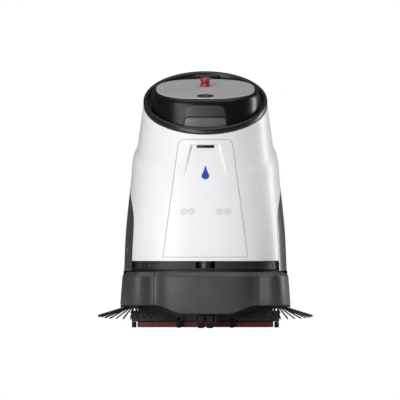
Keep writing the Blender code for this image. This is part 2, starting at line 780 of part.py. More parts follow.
def bumper():
    full = [(-x, y) for x, y in reversed(BUMPER_CENTRE[1:])] + list(BUMPER_CENTRE)
    bumper_piece("bumper_centre", full)
    bumper_piece("bumper_corner_left", BUMPER_CORNER)
    bumper_piece("bumper_corner_right", [(-x, y) for x, y in reversed(BUMPER_CORNER)])


def sensor_bay():
    edge = math.radians(56)
    low = CHASSIS_TOP + 0.0028

    def place(u, v):
        return skin(low + v * (0.2600 - low), (2 * u - 1) * edge, BAY_INSET)

    bay = add_object("sensor_bay", mapped(18, 1, place), DARK)
    thicken(bay, BAY_WALL)
    rail = 0.004
    cut(bay, add_tool("lidar_gap", block((0.074, 0.06, 0.08), (0, -0.36, low + rail + 0.040))))
    lidar = turned(disc(0.031, low + rail + GAP, 0.2597), 24, (0, -0.345, 0))
    add_object("lidar_body", lidar, BLACK)


chassis_frame()
rear_skirt()
bumper()
sensor_bay()


# ---------------------------------------------------------------- inside: battery, tanks, blower, pump


def tub(name, size, centre, wall):
    """An open-topped tank with even walls."""
    tank = add_object(name, block(size, centre, 0.012, 2), TANK)
    inner = Vector(size) - Vector((2 * wall, 2 * wall, 0.0))
    middle = Vector(centre) + Vector((0.0, 0.0, wall))
    cut(tank, add_tool(f"{name}_hollow", block(inner, middle, 0.008, 2)))


def inside():
    base = CHASSIS_TOP + GAP
    battery = block((0.260, 0.200, 0.170), (0, -0.150, base + 0.085), 0.006)
    add_object("battery_pack", battery, DARK)
    tub("solution_tank", (0.400, 0.220, 0.260), (0, 0.110, base + 0.130), 0.006)
    tub("recovery_tank", (0.290, 0.200, 0.300), (0, 0.100, 0.650), 0.006)
    box = block((0.220, 0.150, 0.070), (0, -0.150, base + 0.1703 + 0.035), 0.004)
    add_object("control_box", box, METAL)
    can = [(0, 0.130), (0.030, 0.130), (0.034, 0.090), (0.062, 0.080)]
    can += [(0.066, 0.070), (0.066, 0.012), (0.060, 0.0), (0, 0.0)]
    blower = turned(can, 20, (0, -0.110, base + 0.2412))
    add_object("vacuum_blower", blower, BLACK)
    foot = block((0.060, 0.070, 0.020), (0.190, -0.110, base + 0.010), 0.002)
    pump = add_object("water_pump", foot, METAL)
    pump_motor = turned(disc(0.024, -0.050, 0.050), 20, (0.190, -0.110, base + 0.042), "X")
    join(pump, add_tool("pump_motor", pump_motor))


inside()


# ---------------------------------------------------------------- running gear


def drive_wheels():
    half = DRIVE_WIDTH / 2
    outer = [(0.0643, half - 0.004), (0.070, half), (0.092, half), (DRIVE_RADIUS, half - 0.007)]
    tyre = outer + [(radius, -height) for radius, height in reversed(outer)]
    hub = [(0, 0.012), (0.022, 0.012), (0.026, 0.004), (0.050, 0.004), (0.054, 0.016), (0.064, 0.016)]
    hub += [(0.064, -0.016), (0.054, -0.016), (0.050, -0.006), (0.026, -0.006), (0.022, -0.018), (0, -0.018)]
    for name, side in (("left", 1), ("right", -1)):
        centre = (side * DRIVE_X, DRIVE_Y, DRIVE_RADIUS)
        add_object(f"drive_tyre_{name}", turned(tyre, 24, centre, "X"), RUBBER, centre)
        add_object(f"drive_hub_{name}", turned(hub, 24, centre, "X"), METAL, centre)
        can = turned(disc(0.042, -0.058, 0.058, 0.003), 20, (side * 0.1545, DRIVE_Y, DRIVE_RADIUS), "X")
        motor = add_object(f"drive_motor_{name}", can, METAL)
        bracket = block((0.060, 0.060, 0.080), (side * 0.150, DRIVE_Y, CHASSIS_BOTTOM - GAP - 0.040))
        join(motor, add_tool(f"motor_mount_{name}", bracket))


def caster():
    top = CHASSIS_BOTTOM - GAP
    post = [(0, top), (0.030, top), (0.030, 0.196), (0.014, 0.192), (0.014, 0.085), (0, 0.085)]
    stem = turned(post, 24, (0, CASTER_Y, 0))
    fork = add_object("caster_fork", stem, METAL, (0, CASTER_Y, CHASSIS_BOTTOM))
    axle_y = CASTER_Y + CASTER_TRAIL
    pieces = [block((0.085, 0.060, 0.011), (0, CASTER_Y + 0.012, 0.0865), 0.002)]
    for side in (1, -1):
        pieces.append(block((0.008, 0.036, 0.070), (side * 0.0385, axle_y - 0.002, 0.0555), 0.002))
    pieces.append(turned(disc(0.004, -0.036, 0.036), 12, (0, axle_y, CASTER_RADIUS), "X"))
    join(fork, *(add_tool(f"fork_piece_{i}", piece) for i, piece in enumerate(pieces)))
    rim = [(0.0044, 0.0135), (0.033, 0.0135), (CASTER_RADIUS, 0.0095)]
    wheel = rim + [(radius, -height) for radius, height in reversed(rim)]
    for name, side in (("left", 1), ("right", -1)):
        centre = (side * CASTER_WHEEL_X, axle_y, CASTER_RADIUS)
        add_object(f"caster_wheel_{name}", turned(wheel, 22, centre, "X"), RUBBER, centre)


drive_wheels()
caster()


# ---------------------------------------------------------------- scrub deck, side brushes, squeegee


def scrub_deck():
    middle_y = (DECK_FRONT + DECK_REAR) / 2
    depth = DECK_REAR - DECK_FRONT
    height = DECK_TOP - DECK_BOTTOM
    housing_bm = block((2 * DECK_HALF, depth, height), (0, middle_y, DECK_BOTTOM + height / 2), 0.004)
    housing = add_object("deck_housing", housing_bm, DARK)
    hollow_centre = (0, middle_y, DECK_BOTTOM + height / 2 - 0.0065)
    hollow = block((2 * DECK_HALF - 0.013, depth - 0.013, height), hollow_centre)
    cut(housing, add_tool("deck_hollow", hollow))
    extras = []
    for side in (1, -1):
        extras.append(block((0.030, 0.020, 0.0425), (side * 0.2720, END_ROLLER_Y, 0.0450)))
        extras.append(block((0.023, 0.040, 0.033), (side * GAUGE_X, -0.134, 0.0625)))
        for ear in (1, -1):
            extras.append(block((0.0022, 0.014, 0.045), (side * GAUGE_X + ear * 0.0104, GAUGE_Y, 0.0335)))
    join(housing, *(add_tool(f"deck_extra_{i}", extra) for i, extra in enumerate(extras)))

    skirt = add_object("deck_skirt", block((0.526, depth + 0.005, 0.021), (0, middle_y, 0.0125)), SKIRT_RED)
    cut(skirt, add_tool("skirt_opening", block((0.516, depth - 0.005, 0.060), (0, middle_y, 0.0125))))

    motor = block((0.150, 0.090, 0.052), (0, ROLLER_Y, DECK_TOP + GAP + 0.026), 0.006)
    add_object("deck_motor", motor, METAL)

    centre = (0, ROLLER_Y, ROLLER_RADIUS + 0.0005)
    roller = turned(
        [(0, 0.2550), (0.008, 0.2550), (0.008, 0.245), (0.0475, 0.245), (ROLLER_RADIUS, 0.243),
         (ROLLER_RADIUS, -0.243), (0.0475, -0.245), (0.008, -0.245), (0.008, -0.2550), (0, -0.2550)],
        24, centre, "X",
    )
    add_object("roller_brush", roller, RUBBER, centre)
    for name, side in (("left", 1), ("right", -1)):
        post = (side * END_ROLLER_X, END_ROLLER_Y, 0.012)
        add_object(f"deck_end_roller_{name}", turned(disc(0.009, -0.0112, 0.0112), 14, post), RUBBER, post)
        hub = (side * GAUGE_X, GAUGE_Y, GAUGE_RADIUS)
        gauge = turned(disc(GAUGE_RADIUS, -0.0088, 0.0088, 0.0015), 16, hub, "X")
        add_object(f"gauge_wheel_{name}", gauge, RUBBER, hub)


def bristle_tufts():
    """All tufts of a side brush, before the brush is tilted: stiff fingers that splay outwards and down."""
    bm = bmesh.new()
    start = Vector((0.0290, 0, -0.0065))
    end = Vector((BRUSH_RADIUS, 0, -0.0450))
    way = end - start
    for index in range(BRUSH_TUFTS):
        grown = bmesh.ops.create_cone(
            bm, cap_ends=True, cap_tris=False, segments=4, radius1=0.0030, radius2=0.0050, depth=way.length
        )
        turn = Matrix.Rotation(math.tau * index / BRUSH_TUFTS, 4, "Z")
        lie = way.to_track_quat("Z", "Y").to_matrix().to_4x4()
        place = turn @ Matrix.Translation((start + end) / 2) @ lie
        bmesh.ops.transform(bm, matrix=place, verts=grown["verts"])
    return bm


def side_brushes():
    for name, side in (("left", 1), ("right", -1)):
        centre = Vector((side * BRUSH_X, BRUSH_Y, BRUSH_Z))
        hub = turned(HUB_PROFILE, 20, centre, tilt=BRUSH_TILT)
        add_object(f"side_brush_hub_{name}", hub, DARK, centre)
        ring = turned(RING_PROFILE, 18, centre, tilt=BRUSH_TILT)
        bristles = add_object(f"side_brush_bristles_{name}", ring, RUBBER, centre)
        tufts = bristle_tufts()
        bmesh.ops.rotate(tufts, verts=tufts.verts, matrix=Matrix.Rotation(BRUSH_TILT, 3, "X"))
        bmesh.ops.translate(tufts, verts=tufts.verts, vec=centre)
        join(bristles, add_tool(f"tufts_{name}", tufts))

        motor = turned(disc(0.024, 0.1025, 0.165, 0.002), 18, (centre.x, centre.y, 0))
        arm = add_object(f"side_brush_arm_{name}", motor, DARK, centre)
        beam = block((0.110, 0.030, 0.022), (side * 0.2300, BRUSH_Y + 0.010, 0.1500), 0.002)
        post = turned(disc(0.0100, 0.145, 0.262), 14, (side * 0.190, BRUSH_Y + 0.02, 0))
        join(arm, add_tool(f"arm_beam_{name}", beam), add_tool(f"arm_post_{name}", post))


def squeegee():
    add_object("squeegee_beam", block((0.524, 0.034, 0.028), (0, SQUEEGEE_Y, 0.064), 0.003), DARK)
    add_object("squeegee_blade", block((0.532, 0.006, 0.049), (0, SQUEEGEE_Y, 0.0250)), RUBBER)
    pipe = [(0.016, 0.262), (0.020, 0.262), (0.020, 0.0783), (0.016, 0.0783)]
    riser = turned(pipe, 24, (0, SQUEEGEE_Y, 0))
    add_object("suction_riser", riser, DARK)


scrub_deck()
side_brushes()
squeegee()
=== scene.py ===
import math
import random

import bmesh
import bpy
from mathutils import Matrix, Vector


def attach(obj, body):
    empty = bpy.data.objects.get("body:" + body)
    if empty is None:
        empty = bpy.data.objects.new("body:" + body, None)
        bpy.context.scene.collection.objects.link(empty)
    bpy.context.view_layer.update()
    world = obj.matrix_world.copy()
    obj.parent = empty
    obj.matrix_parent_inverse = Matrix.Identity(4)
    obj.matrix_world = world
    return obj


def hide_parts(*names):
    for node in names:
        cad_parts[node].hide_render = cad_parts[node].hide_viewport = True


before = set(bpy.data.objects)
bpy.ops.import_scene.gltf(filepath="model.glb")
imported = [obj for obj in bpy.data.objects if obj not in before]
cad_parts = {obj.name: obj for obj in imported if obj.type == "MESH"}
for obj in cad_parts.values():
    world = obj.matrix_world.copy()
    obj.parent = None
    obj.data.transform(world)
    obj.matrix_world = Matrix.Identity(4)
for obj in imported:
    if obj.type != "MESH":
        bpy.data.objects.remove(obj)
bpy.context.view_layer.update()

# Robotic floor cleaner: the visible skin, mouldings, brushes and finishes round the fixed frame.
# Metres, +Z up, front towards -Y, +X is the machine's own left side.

bl_info = {
    "name": "Robotic floor cleaner",
    "version": (1, 0, 0),
    "blender": (4, 5, 0),
    "location": "View3D > Sidebar > Floor cleaner",
    "description": "Builds the visible pieces of an upright floor scrubbing robot round its frame",
    "category": "Object",
}

# ---------------------------------------------------------------- sizes shared with the frame

SKIN_ROWS = (
    (0.220, 0.3166, -0.386, 0.361),
    (0.368, 0.3100, -0.366, 0.350),
    (0.466, 0.3010, -0.346, 0.340),
    (0.554, 0.2912, -0.325, 0.329),
    (0.640, 0.2838, -0.300, 0.316),
    (0.668, 0.2785, -0.291, 0.311),
    (0.691, 0.2665, -0.284, 0.307),
    (0.760, 0.2560, -0.262, 0.292),
    (0.8645, 0.2418, -0.2346, 0.2646),
)
SHELL_TOP = 0.8645
FRONT_BOTTOM = 0.261
REAR_BOTTOM = 0.2225
SLANT_START = 0.30
WALL = 0.004
SEAM = 0.0015
SEAM_ANGLE = SEAM / 0.31  # half the gap beside a side door, as an angle about the body's middle

DOOR_TOP = 0.554
ARCH_START = 0.47  # from here up the rows of the shells and doors lie closer together
DOOR_MIDDLE = math.radians(93)
DOOR_FRONT_REACH = math.radians(33)
DOOR_REAR_REACH = math.radians(25)

RING_CENTRE_Y, RING_CENTRE_Z, RING_SLOPE = 0.015, 0.876, 0.458
RING_HALF_WIDTH, RING_HALF_DEPTH = 0.2334, 0.2417
RING_RADIAL, RING_VERTICAL = 0.0083, 0.0105
HEAD_CENTRE_Y, HEAD_HALF_WIDTH, HEAD_HALF_DEPTH = 0.011, 0.211, 0.201
HEAD_POWER, HEAD_SHOULDER = 2.5, 0.030
PLATE_HALF_WIDTH, PLATE_HALF_DEPTH = 0.1915, 0.186
PLATE_FRONT_Y, PLATE_FRONT_Z, PLATE_SLOPE = -0.185, 0.8896, 0.205
PLATE_TILT = math.atan(PLATE_SLOPE)
TAB_TOP = 0.815
DECK_HALF_WIDTH, DECK_HALF_DEPTH = 0.2246, 0.2329
DECK_LEVELS = ((0, -0.009), (0.995, -0.009), (1, -0.0095), (1, -0.0125), (0.995, -0.013), (0, -0.013))
START_Y, START_RADIUS, ESTOP_Y = -0.130, 0.0325, 0.062

PANEL_TOP, PANEL_BOTTOM = 0.7316, 0.277
PANEL_TOP_HALF, PANEL_BOTTOM_HALF, PANEL_CORNER = 0.1025, 0.164, 0.020
SCOOP_DEPTH, SCOOP_LOW, SCOOP_TOP = 0.014, 0.578, 0.7145
CAMERA_Z = 0.704
SONAR_RADIUS, SONAR_HEIGHT, SONAR_X = 0.0125, 0.453, (0.055, 0.085)

CHASSIS_TOP = 0.2252
BAY_INSET, BAY_WALL = 0.008, 0.016
BASE_HALF_WIDTH, SKIRT_HALF_DEPTH = 0.331, 0.385
SKIRT_LOW, SKIRT_REAR_LOW, SKIRT_TOP = 0.078, 0.125, 0.2215
BUMPER_TOP, BUMPER_LOW, BUMPER_SIDE_LOW = 0.2018, 0.0565, 0.089
BUMPER_CENTRE = ((0.0, -0.4375), (0.048, -0.4368), (0.092, -0.4348), (0.128, -0.4305), (0.152, -0.4240),
                 (0.168, -0.4150), (0.180, -0.4060), (0.191, -0.4005), (0.2003, -0.3985))
BUMPER_CORNER = ((0.2013, -0.3983), (0.213, -0.3975), (0.228, -0.4010), (0.246, -0.4060), (0.264, -0.4055),
                 (0.281, -0.3980), (0.296, -0.3830), (0.308, -0.3600), (0.3165, -0.3250), (0.3225, -0.2800),
                 (0.3270, -0.2250), (0.3298, -0.1700), (0.3310, -0.1200))
HANDLE_RADIUS, HANDLE_HALF, HANDLE_Z, HANDLE_REAR = 0.013, 0.135, 0.765, 0.424
SCREEN_CENTRE, SCREEN_LEAN = Vector((0.0, 0.2925, 0.865)), math.radians(11.5)

BRUSH_X, BRUSH_Y, BRUSH_Z, BRUSH_RADIUS = 0.275, -0.270, 0.090, 0.1455
BRUSH_TILT = math.radians(4)
DRIVE_X, DRIVE_Y, DRIVE_RADIUS, DRIVE_WIDTH = 0.235, 0.190, 0.100, 0.044
ROLLER_Y, ROLLER_Z, ROLLER_TUFTS = -0.020, 0.050, 22
CASTER_X, CASTER_Y, CASTER_RADIUS = 0.0172, -0.290, 0.0375
GAUGE_X, GAUGE_Y, GAUGE_RADIUS = 0.103, -0.142, 0.018
GUARD_X, GUARD_Y, GUARD_Z = 0.277, -0.100, 0.012
SQUEEGEE_Y = 0.3175
HINGE_AXIS = Vector((0.0, 0.234, 0.9775))
LATCH_HEIGHT, LATCH_TURN = 0.303, math.radians(70)
SCANNER_Y = -0.345
SIDES = (("left", 1), ("right", -1))

# ---------------------------------------------------------------- small helpers


def linear(hex_colour):
    """sRGB hex to linear RGBA."""
    channels = [int(hex_colour[i : i + 2], 16) / 255 for i in (1, 3, 5)]
    return (*[c / 12.92 if c <= 0.04045 else ((c + 0.055) / 1.055) ** 2.4 for c in channels], 1.0)


def clamp(value, low=0.0, high=1.0):
    return min(max(value, low), high)


def ease(value):
    value = clamp(value)
    return value * value * (3 - 2 * value)


def signed_power(value, power):
    return math.copysign(abs(value) ** power, value)


def spread(low, high, count):
    return [low + (high - low) * i / (count - 1) for i in range(count)]


def pick(items, share):
    """The item this far along a list, from 0 to 1."""
    return items[round(share * (len(items) - 1))]


def between(rows, key):
    """Values of a smooth curve through rows of (key, value, ...)."""
    last = len(rows) - 2
    index = next((i for i in range(last) if key < rows[i + 1][0]), last)
    before, low, high, after = (rows[clamp(i, 0, last + 1)] for i in range(index - 1, index + 3))
    span = high[0] - low[0]
    t = clamp((key - low[0]) / span)
    values = []
    for a, b, c, d in zip(before[1:], low[1:], high[1:], after[1:]):
        slope_low = (c - a) / (high[0] - before[0]) * span
        slope_high = (d - b) / (after[0] - low[0]) * span
        values.append(
            (2 * t**3 - 3 * t**2 + 1) * b + (t**3 - 2 * t**2 + t) * slope_low
            + (3 * t**2 - 2 * t**3) * c + (t**3 - t**2) * slope_high
        )
    return values


def smooth_path(points, count):
    """count points along a smooth curve through a few (x, y) points."""
    rows = [(i, *point) for i, point in enumerate(points)]
    return [between(rows, key) for key in spread(0, len(points) - 1, count)]


# ---------------------------------------------------------------- materials


def add_node(tree, kind, settings=None, links=None):
    """Adds one node: settings are its properties or its sockets' values, links are socket to source."""
    node = tree.nodes.new(kind)
    for name, value in (settings or {}).items():
        if name in node.inputs:
            node.inputs[name].default_value = value
        else:
            setattr(node, name, value)
    for name, source in (links or {}).items():
        tree.links.new(source, node.inputs[name])
    return node


def surface(
    name, colours, roughness, pattern_mm, bump_mm, settings=None, stretch=(1, 1, 1), spread_of=0.05,
    relief=0.12
):
    """A finish with two close colours, uneven gloss and a fine relief, all on Object coordinates.

    colours are two sRGB hex values, pattern_mm is the width of one patch of colour and bump_mm the width
    of one bump of the relief.
    """
    finish = bpy.data.materials.new(name)
    finish.use_nodes = True
    tree = finish.node_tree
    shader = tree.nodes["Principled BSDF"]
    place = add_node(tree, "ShaderNodeTexCoord").outputs["Object"]
    place = add_node(tree, "ShaderNodeMapping", {"Scale": stretch}, {"Vector": place}).outputs["Vector"]
    patches = add_node(
        tree, "ShaderNodeTexNoise", {"Scale": 1000 / pattern_mm, "Detail": 5.0, "Roughness": 0.6},
        {"Vector": place}
    )
    ramp = add_node(tree, "ShaderNodeValToRGB", links={"Fac": patches.outputs["Fac"]})
    ramp.color_ramp.elements[0].position = 0.35
    ramp.color_ramp.elements[1].position = 0.65
    ramp.color_ramp.elements[0].color = linear(colours[0])
    ramp.color_ramp.elements[1].color = linear(colours[1])
    tree.links.new(ramp.outputs["Color"], shader.inputs["Base Color"])
    gloss = add_node(
        tree, "ShaderNodeMapRange",
        {
            "From Min": 0.3, "From Max": 0.7, "To Min": roughness - spread_of / 2,
            "To Max": roughness + spread_of / 2
        },
        {"Value": patches.outputs["Fac"]}
    )
    tree.links.new(gloss.outputs["Result"], shader.inputs["Roughness"])
    grain = add_node(tree, "ShaderNodeTexNoise", {"Scale": 1000 / bump_mm, "Detail": 2.0}, {"Vector": place})
    bumps = add_node(
        tree, "ShaderNodeBump", {"Strength": relief, "Distance": bump_mm * 0.00006},
        {"Height": grain.outputs["Fac"]}
    )
    tree.links.new(bumps.outputs["Normal"], shader.inputs["Normal"])
    for socket, value in (settings or {}).items():
        shader.inputs[socket].default_value = value
    return finish


def make_finishes(colours):
    """Every finish of the machine, by its plain name."""
    made = {}
    # White ABS, moulded and lightly polished: a faint orange peel breaks up the reflections.
    made["white_abs"] = surface(
        "white_moulded_abs", (colours.shell, "#e9e9ec"), 0.40, 260, 1.6,
        {"IOR": 1.5, "Coat Weight": 0.15, "Coat Roughness": 0.2}, spread_of=0.02, relief=0.04,
    )
    # White sensor caps: the same plastic, duller, and painted a little darker than the shell as shade, so
    # that the round edges read on the shell.
    made["cap_abs"] = surface("white_sensor_cap_abs", ("#dcdcde", "#d2d2d5"), 0.42, 30, 1.0, {"IOR": 1.53})
    # Polished black ABS, as on the ring, the start button and the laser scanner.
    made["black_gloss"] = surface(
        "black_polished_abs", ("#1e1e1f", "#1a1a1b"), 0.34, 90, 2.0,
        {"IOR": 1.47, "Coat Weight": 0.12, "Coat Roughness": 0.12}, spread_of=0.03, relief=0.05,
    )
    # Black ABS of the lid's drum: the ring's plastic, painted darker than the ring as shade, so that its
    # shoulder turns quickly into shade.
    made["drum_black"] = surface(
        "black_lid_abs", ("#0e0e0f", "#0c0c0d"), 0.30, 90, 2.0, {"IOR": 1.38},
        spread_of=0.03, relief=0.05,
    )
    # Black ABS of the side doors: glossy, with a clear coat that catches the side light.
    made["door_gloss"] = surface(
        "black_door_abs", ("#3f3f40", "#3a3a3b"), 0.30, 90, 2.0,
        {"IOR": 1.55, "Coat Weight": 0.9, "Coat Roughness": 0.2}, spread_of=0.03, relief=0.05,
    )
    # Dark grey textured polypropylene of the bumper and skirt: satin, with an eroded grain.
    made["dark_satin"] = surface(
        "dark_grained_polypropylene", (colours.bumper, "#343435"), 0.46, 60, 1.1, {"IOR": 1.47}
    )
    # Upper grip of the lid: black, a shade duller than the drum so that its edge shows.
    made["grip_black"] = surface("black_moulded_grip", ("#333334", "#2e2e2f"), 0.42, 40, 1.0, {"IOR": 1.47})
    # The sensor band: the bumper's plastic, darker and a little duller; the darker grey is painted shade
    # under the shell's lower edge.
    made["band_grey"] = surface(
        "grey_band_polypropylene", ("#242425", "#202021"), 0.52, 40, 1.0, {"IOR": 1.48}
    )
    # Black textured plastic round the lid, where light gets lost: its near black is painted shade, inside the
    # ring, on the hinge and round the finger tab.
    made["painted_shade_black"] = surface("painted_shade_black_abs", ("#141415", "#101011"), 0.6, 40, 1.0, {"IOR": 1.45})
    # Matt plastic of the battery's case and of the block behind the dock contacts.
    made["dark_matt"] = surface(
        "dark_matt_polypropylene", ("#333334", "#2b2b2c"), 0.58, 40, 1.1, {"IOR": 1.49}
    )
    # Lighter grey plastic of the lid's finger tab and the caster's rims.
    made["grip_grey"] = surface("grey_moulded_grip", ("#5c5b5c", "#555455"), 0.40, 30, 1.0, {"IOR": 1.5})
    # Grey top plate: fine spark-eroded texture, satin.
    made["plate_grey"] = surface(
        "grey_satin_polycarbonate", (colours.plate, "#a9a9ab"), 0.36, 120, 0.9, {"IOR": 1.58}
    )
    # Red emergency stop: dyed polycarbonate, glossy.
    made["signal_red"] = surface(
        "red_dyed_polycarbonate", (colours.stop, "#8e1f24"), 0.28, 20, 1.5,
        {"IOR": 1.58, "Coat Weight": 0.4, "Coat Roughness": 0.1}
    )
    # Dark red rubber skirt: dull, with a fine skin.
    made["red_rubber"] = surface(
        "dark_red_moulded_rubber", (colours.skirt, "#7c2e34"), 0.55, 25, 1.2, {"IOR": 1.52}
    )
    # Black rubber of the small wheels, the squeegee's blade and the push handle.
    made["black_rubber"] = surface(
        "black_moulded_rubber", ("#232323", "#1b1b1b"), 0.68, 20, 1.0, {"IOR": 1.52}
    )
    # Tyre rubber with a little grey dust in its colour.
    made["tyre"] = surface("grey_black_tyre_rubber", ("#2a2a2b", "#202021"), 0.78, 18, 0.8, {"IOR": 1.52})
    # Nylon bristles: black, each strand with a long narrow gleam.
    made["nylon"] = surface("black_nylon_bristle", ("#1d1d1e", "#141415"), 0.46, 12, 0.6, {"IOR": 1.53})
    # Zinc plated steel of motors, hubs, pump and contact strips: a fine brushed grain.
    made["zinc"] = surface(
        "zinc_plated_steel", ("#a9adb1", "#8f9397"), 0.34, 14, 0.7, {"Metallic": 1.0}, (1, 1, 0.15), 0.14
    )
    # Powder coated frame plate.
    made["powder_coat"] = surface("dark_powder_coat", ("#2c2d2f", "#262729"), 0.50, 25, 0.9, {"IOR": 1.5})
    # Tank polyethylene: milky, matt, rotomoulded.
    made["tank"] = surface("milky_polyethylene", ("#c9ccd0", "#bcc0c5"), 0.5, 60, 1.4, {"IOR": 1.51})
    # Sensor window and lenses: black behind a smooth pane.
    made["window"] = surface(
        "black_sensor_window", ("#0c0d10", "#08090b"), 0.12, 60, 3.0,
        {"IOR": 1.52, "Coat Weight": 0.5, "Coat Roughness": 0.03}
    )
    # Lit glass of the display, dim blue grey.
    made["display"] = surface(
        "display_glass", ("#1a2833", "#15212b"), 0.10, 120, 3.0,
        {"IOR": 1.52, "Coat Weight": 0.6, "Coat Roughness": 0.02}
    )
    # Blue enamel badge: a plain water drop, glossy.
    made["badge_blue"] = surface(
        "blue_enamel", (colours.badge, "#1b4796"), 0.3, 25, 1.5,
        {"IOR": 1.5, "Coat Weight": 0.4, "Coat Roughness": 0.06}
    )
    # Silver grey trim, as on the latch marks, and a painted highlight on the start button's middle.
    made["grey_trim_and_highlight"] = surface("satin_lacquer_trim_and_highlight", ("#9b9c9f", "#8a8b8e"), 0.32, 12, 1.0, {"Metallic": 0.6})
    return made


FINISHES = {}

# ---------------------------------------------------------------- mesh helpers


def finished(name, bm, finish, body, replaced=(), sharp=35, bevel=0.0, wall=0.0, tools=()):
    """Turns a bmesh into a finished piece that rides on a body and may stand for nodes of the frame.

    wall thickens an open skin inwards, tools are cutters, and bevel rounds every sharp edge at the end.
    """
    mesh = bpy.data.meshes.new(name)
    bm.to_mesh(mesh)
    bm.free()
    mesh.materials.append(FINISHES[finish])
    piece = bpy.data.objects.new(name, mesh)
    bpy.context.scene.collection.objects.link(piece)
    if wall:
        solid = piece.modifiers.new("wall", "SOLIDIFY")
        solid.thickness = wall
        solid.offset = -1.0
    for tool in tools:
        change = piece.modifiers.new("cut", "BOOLEAN")
        change.operation = "DIFFERENCE"
        change.solver = "EXACT"
        change.object = tool
    if bevel:
        rounding = piece.modifiers.new("rounding", "BEVEL")
        rounding.width = bevel
        rounding.segments = 3
        rounding.limit_method = "ANGLE"
        rounding.angle_limit = math.radians(40)
        rounding.harden_normals = False
    if piece.modifiers:
        graph = bpy.context.evaluated_depsgraph_get()
        final = bpy.data.meshes.new_from_object(piece.evaluated_get(graph))
        piece.modifiers.clear()
        piece.data = final
        bpy.data.meshes.remove(mesh)
        final.name = name
    for tool in tools:
        bpy.data.objects.remove(tool, do_unlink=True)
    piece.data.shade_smooth()
    piece.data.set_sharp_from_angle(angle=math.radians(sharp))
    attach(piece, body)
    if replaced:
        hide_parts(*replaced)
    return piece


def cutter(bm):
    """A closed shape that a Boolean takes away."""
    mesh = bpy.data.meshes.new("cutter")
    bmesh.ops.recalc_face_normals(bm, faces=bm.faces)
    bm.to_mesh(mesh)
    bm.free()
    tool = bpy.data.objects.new("cutter", mesh)
    bpy.context.scene.collection.objects.link(tool)
    return tool


def merged(*parts):
    """Several bmeshes as one, for a piece of separate closed shells."""
    whole = bmesh.new()
    for part in parts:
        mesh = bpy.data.meshes.new("part")
        part.to_mesh(mesh)
        part.free()
        whole.from_mesh(mesh)
        bpy.data.meshes.remove(mesh)
    return whole


def moved(bm, matrix):
    bmesh.ops.transform(bm, matrix=matrix, verts=bm.verts)
    return bm


def block(size, centre=(0, 0, 0), bevel=0.0, segments=3):
    bm = bmesh.new()
    bmesh.ops.create_cube(bm, size=1.0)
    bmesh.ops.scale(bm, vec=size, verts=bm.verts)
    if bevel:
        edges = list(bm.edges)
        bmesh.ops.bevel(
            bm, geom=edges, offset=bevel, segments=segments, affect="EDGES", profile=0.5, material=-1
        )
    bmesh.ops.translate(bm, vec=centre, verts=bm.verts)
    return bm


def rounded_profile(points, radius, steps=3):
    """A (radius, height) chain whose inner corners are rounded off."""
    chain = [Vector(point) for point in points]
    smooth = [chain[0]]
    for before, corner, after in zip(chain, chain[1:], chain[2:]):
        to_before, to_after = before - corner, after - corner
        reach = min(radius, to_before.length * 0.45, to_after.length * 0.45)
        start, end = corner + to_before.normalized() * reach, corner + to_after.normalized() * reach
        for share in spread(0, 1, steps + 1):
            smooth.append(start * (1 - share) ** 2 + corner * 2 * share * (1 - share) + end * share**2)
    return smooth + [chain[-1]]


def turned(profile, segments=64, axis="Z", closed=False):
    """A solid of revolution about an axis through the origin, from a chain of (radius, height)."""
    bm = bmesh.new()
    points = [bm.verts.new((radius, 0, height)) for radius, height in profile]
    edges = [bm.edges.new(pair) for pair in zip(points, points[1:])]
    if closed:
        edges.append(bm.edges.new((points[-1], points[0])))
    round_z = {"cent": (0, 0, 0), "axis": (0, 0, 1), "angle": math.tau}
    bmesh.ops.spin(bm, geom=points + edges, steps=segments, use_merge=True, **round_z)
    bmesh.ops.remove_doubles(bm, verts=bm.verts, dist=1e-6)
    bmesh.ops.recalc_face_normals(bm, faces=bm.faces)
    if axis == "X":
        moved(bm, Matrix.Rotation(math.pi / 2, 4, "Y"))
    return bm


def plug(radius, half, segments=64):
    """A round bar about Z from -half to half, as for a bore."""
    return turned([(0, half), (radius, half), (radius, -half), (0, -half)], segments)


def both_faces(chain):
    """A closed chain of (radius, height) from its upper half."""
    return chain + [(radius, -height) for radius, height in reversed(chain)] + [chain[0]]


def both_ends(chain):
    """A chain of (x, y) carried on by its mirror image on the other side."""
    return chain + [(-x, y) for x, y in reversed(chain)]


def placed(point, angle, axis="X"):
    """A frame at a point, turned about one axis."""
    return Matrix.Translation(point) @ Matrix.Rotation(angle, 4, axis)


def mapped(columns, rows, place, wrap=False, middle=None):
    """A grid laid onto place(u, v), both from 0 to 1.

    wrap joins its first and last columns or rows. middle is a point that its faces point away from.
    """
    bm = bmesh.new()
    bmesh.ops.create_grid(bm, x_segments=columns, y_segments=rows, size=0.5)
    for vert in bm.verts:
        vert.co = place(vert.co.x + 0.5, vert.co.y + 0.5)
    if wrap:
        bmesh.ops.remove_doubles(bm, verts=bm.verts, dist=1e-6)
        edges = [edge for edge in bm.edges if edge.is_boundary]
        if edges:
            bmesh.ops.holes_fill(bm, edges=edges, sides=0)
        bmesh.ops.recalc_face_normals(bm, faces=bm.faces)
        return bm
    bm.normal_update()
    away = sum(face.normal.dot(face.calc_center_median() - middle) * face.calc_area() for face in bm.faces)
    if away < 0:
        bmesh.ops.reverse_faces(bm, faces=bm.faces)
    return bm


def prism(outline, low, high, axis="Z"):
    """An outline of (x, y) points extruded along Z, or of (x, z) points extruded along Y."""
    bm = bmesh.new()
    along = (lambda x, y: (x, y, low)) if axis == "Z" else (lambda x, z: (x, low, z))
    base = bm.faces.new([bm.verts.new(along(*point)) for point in outline])
    grown = bmesh.ops.extrude_face_region(bm, geom=[base])
    verts = [item for item in grown["geom"] if isinstance(item, bmesh.types.BMVert)]
    bmesh.ops.translate(bm, vec=(0, 0, high - low) if axis == "Z" else (0, high - low, 0), verts=verts)
    bmesh.ops.recalc_face_normals(bm, faces=bm.faces)
    return bm


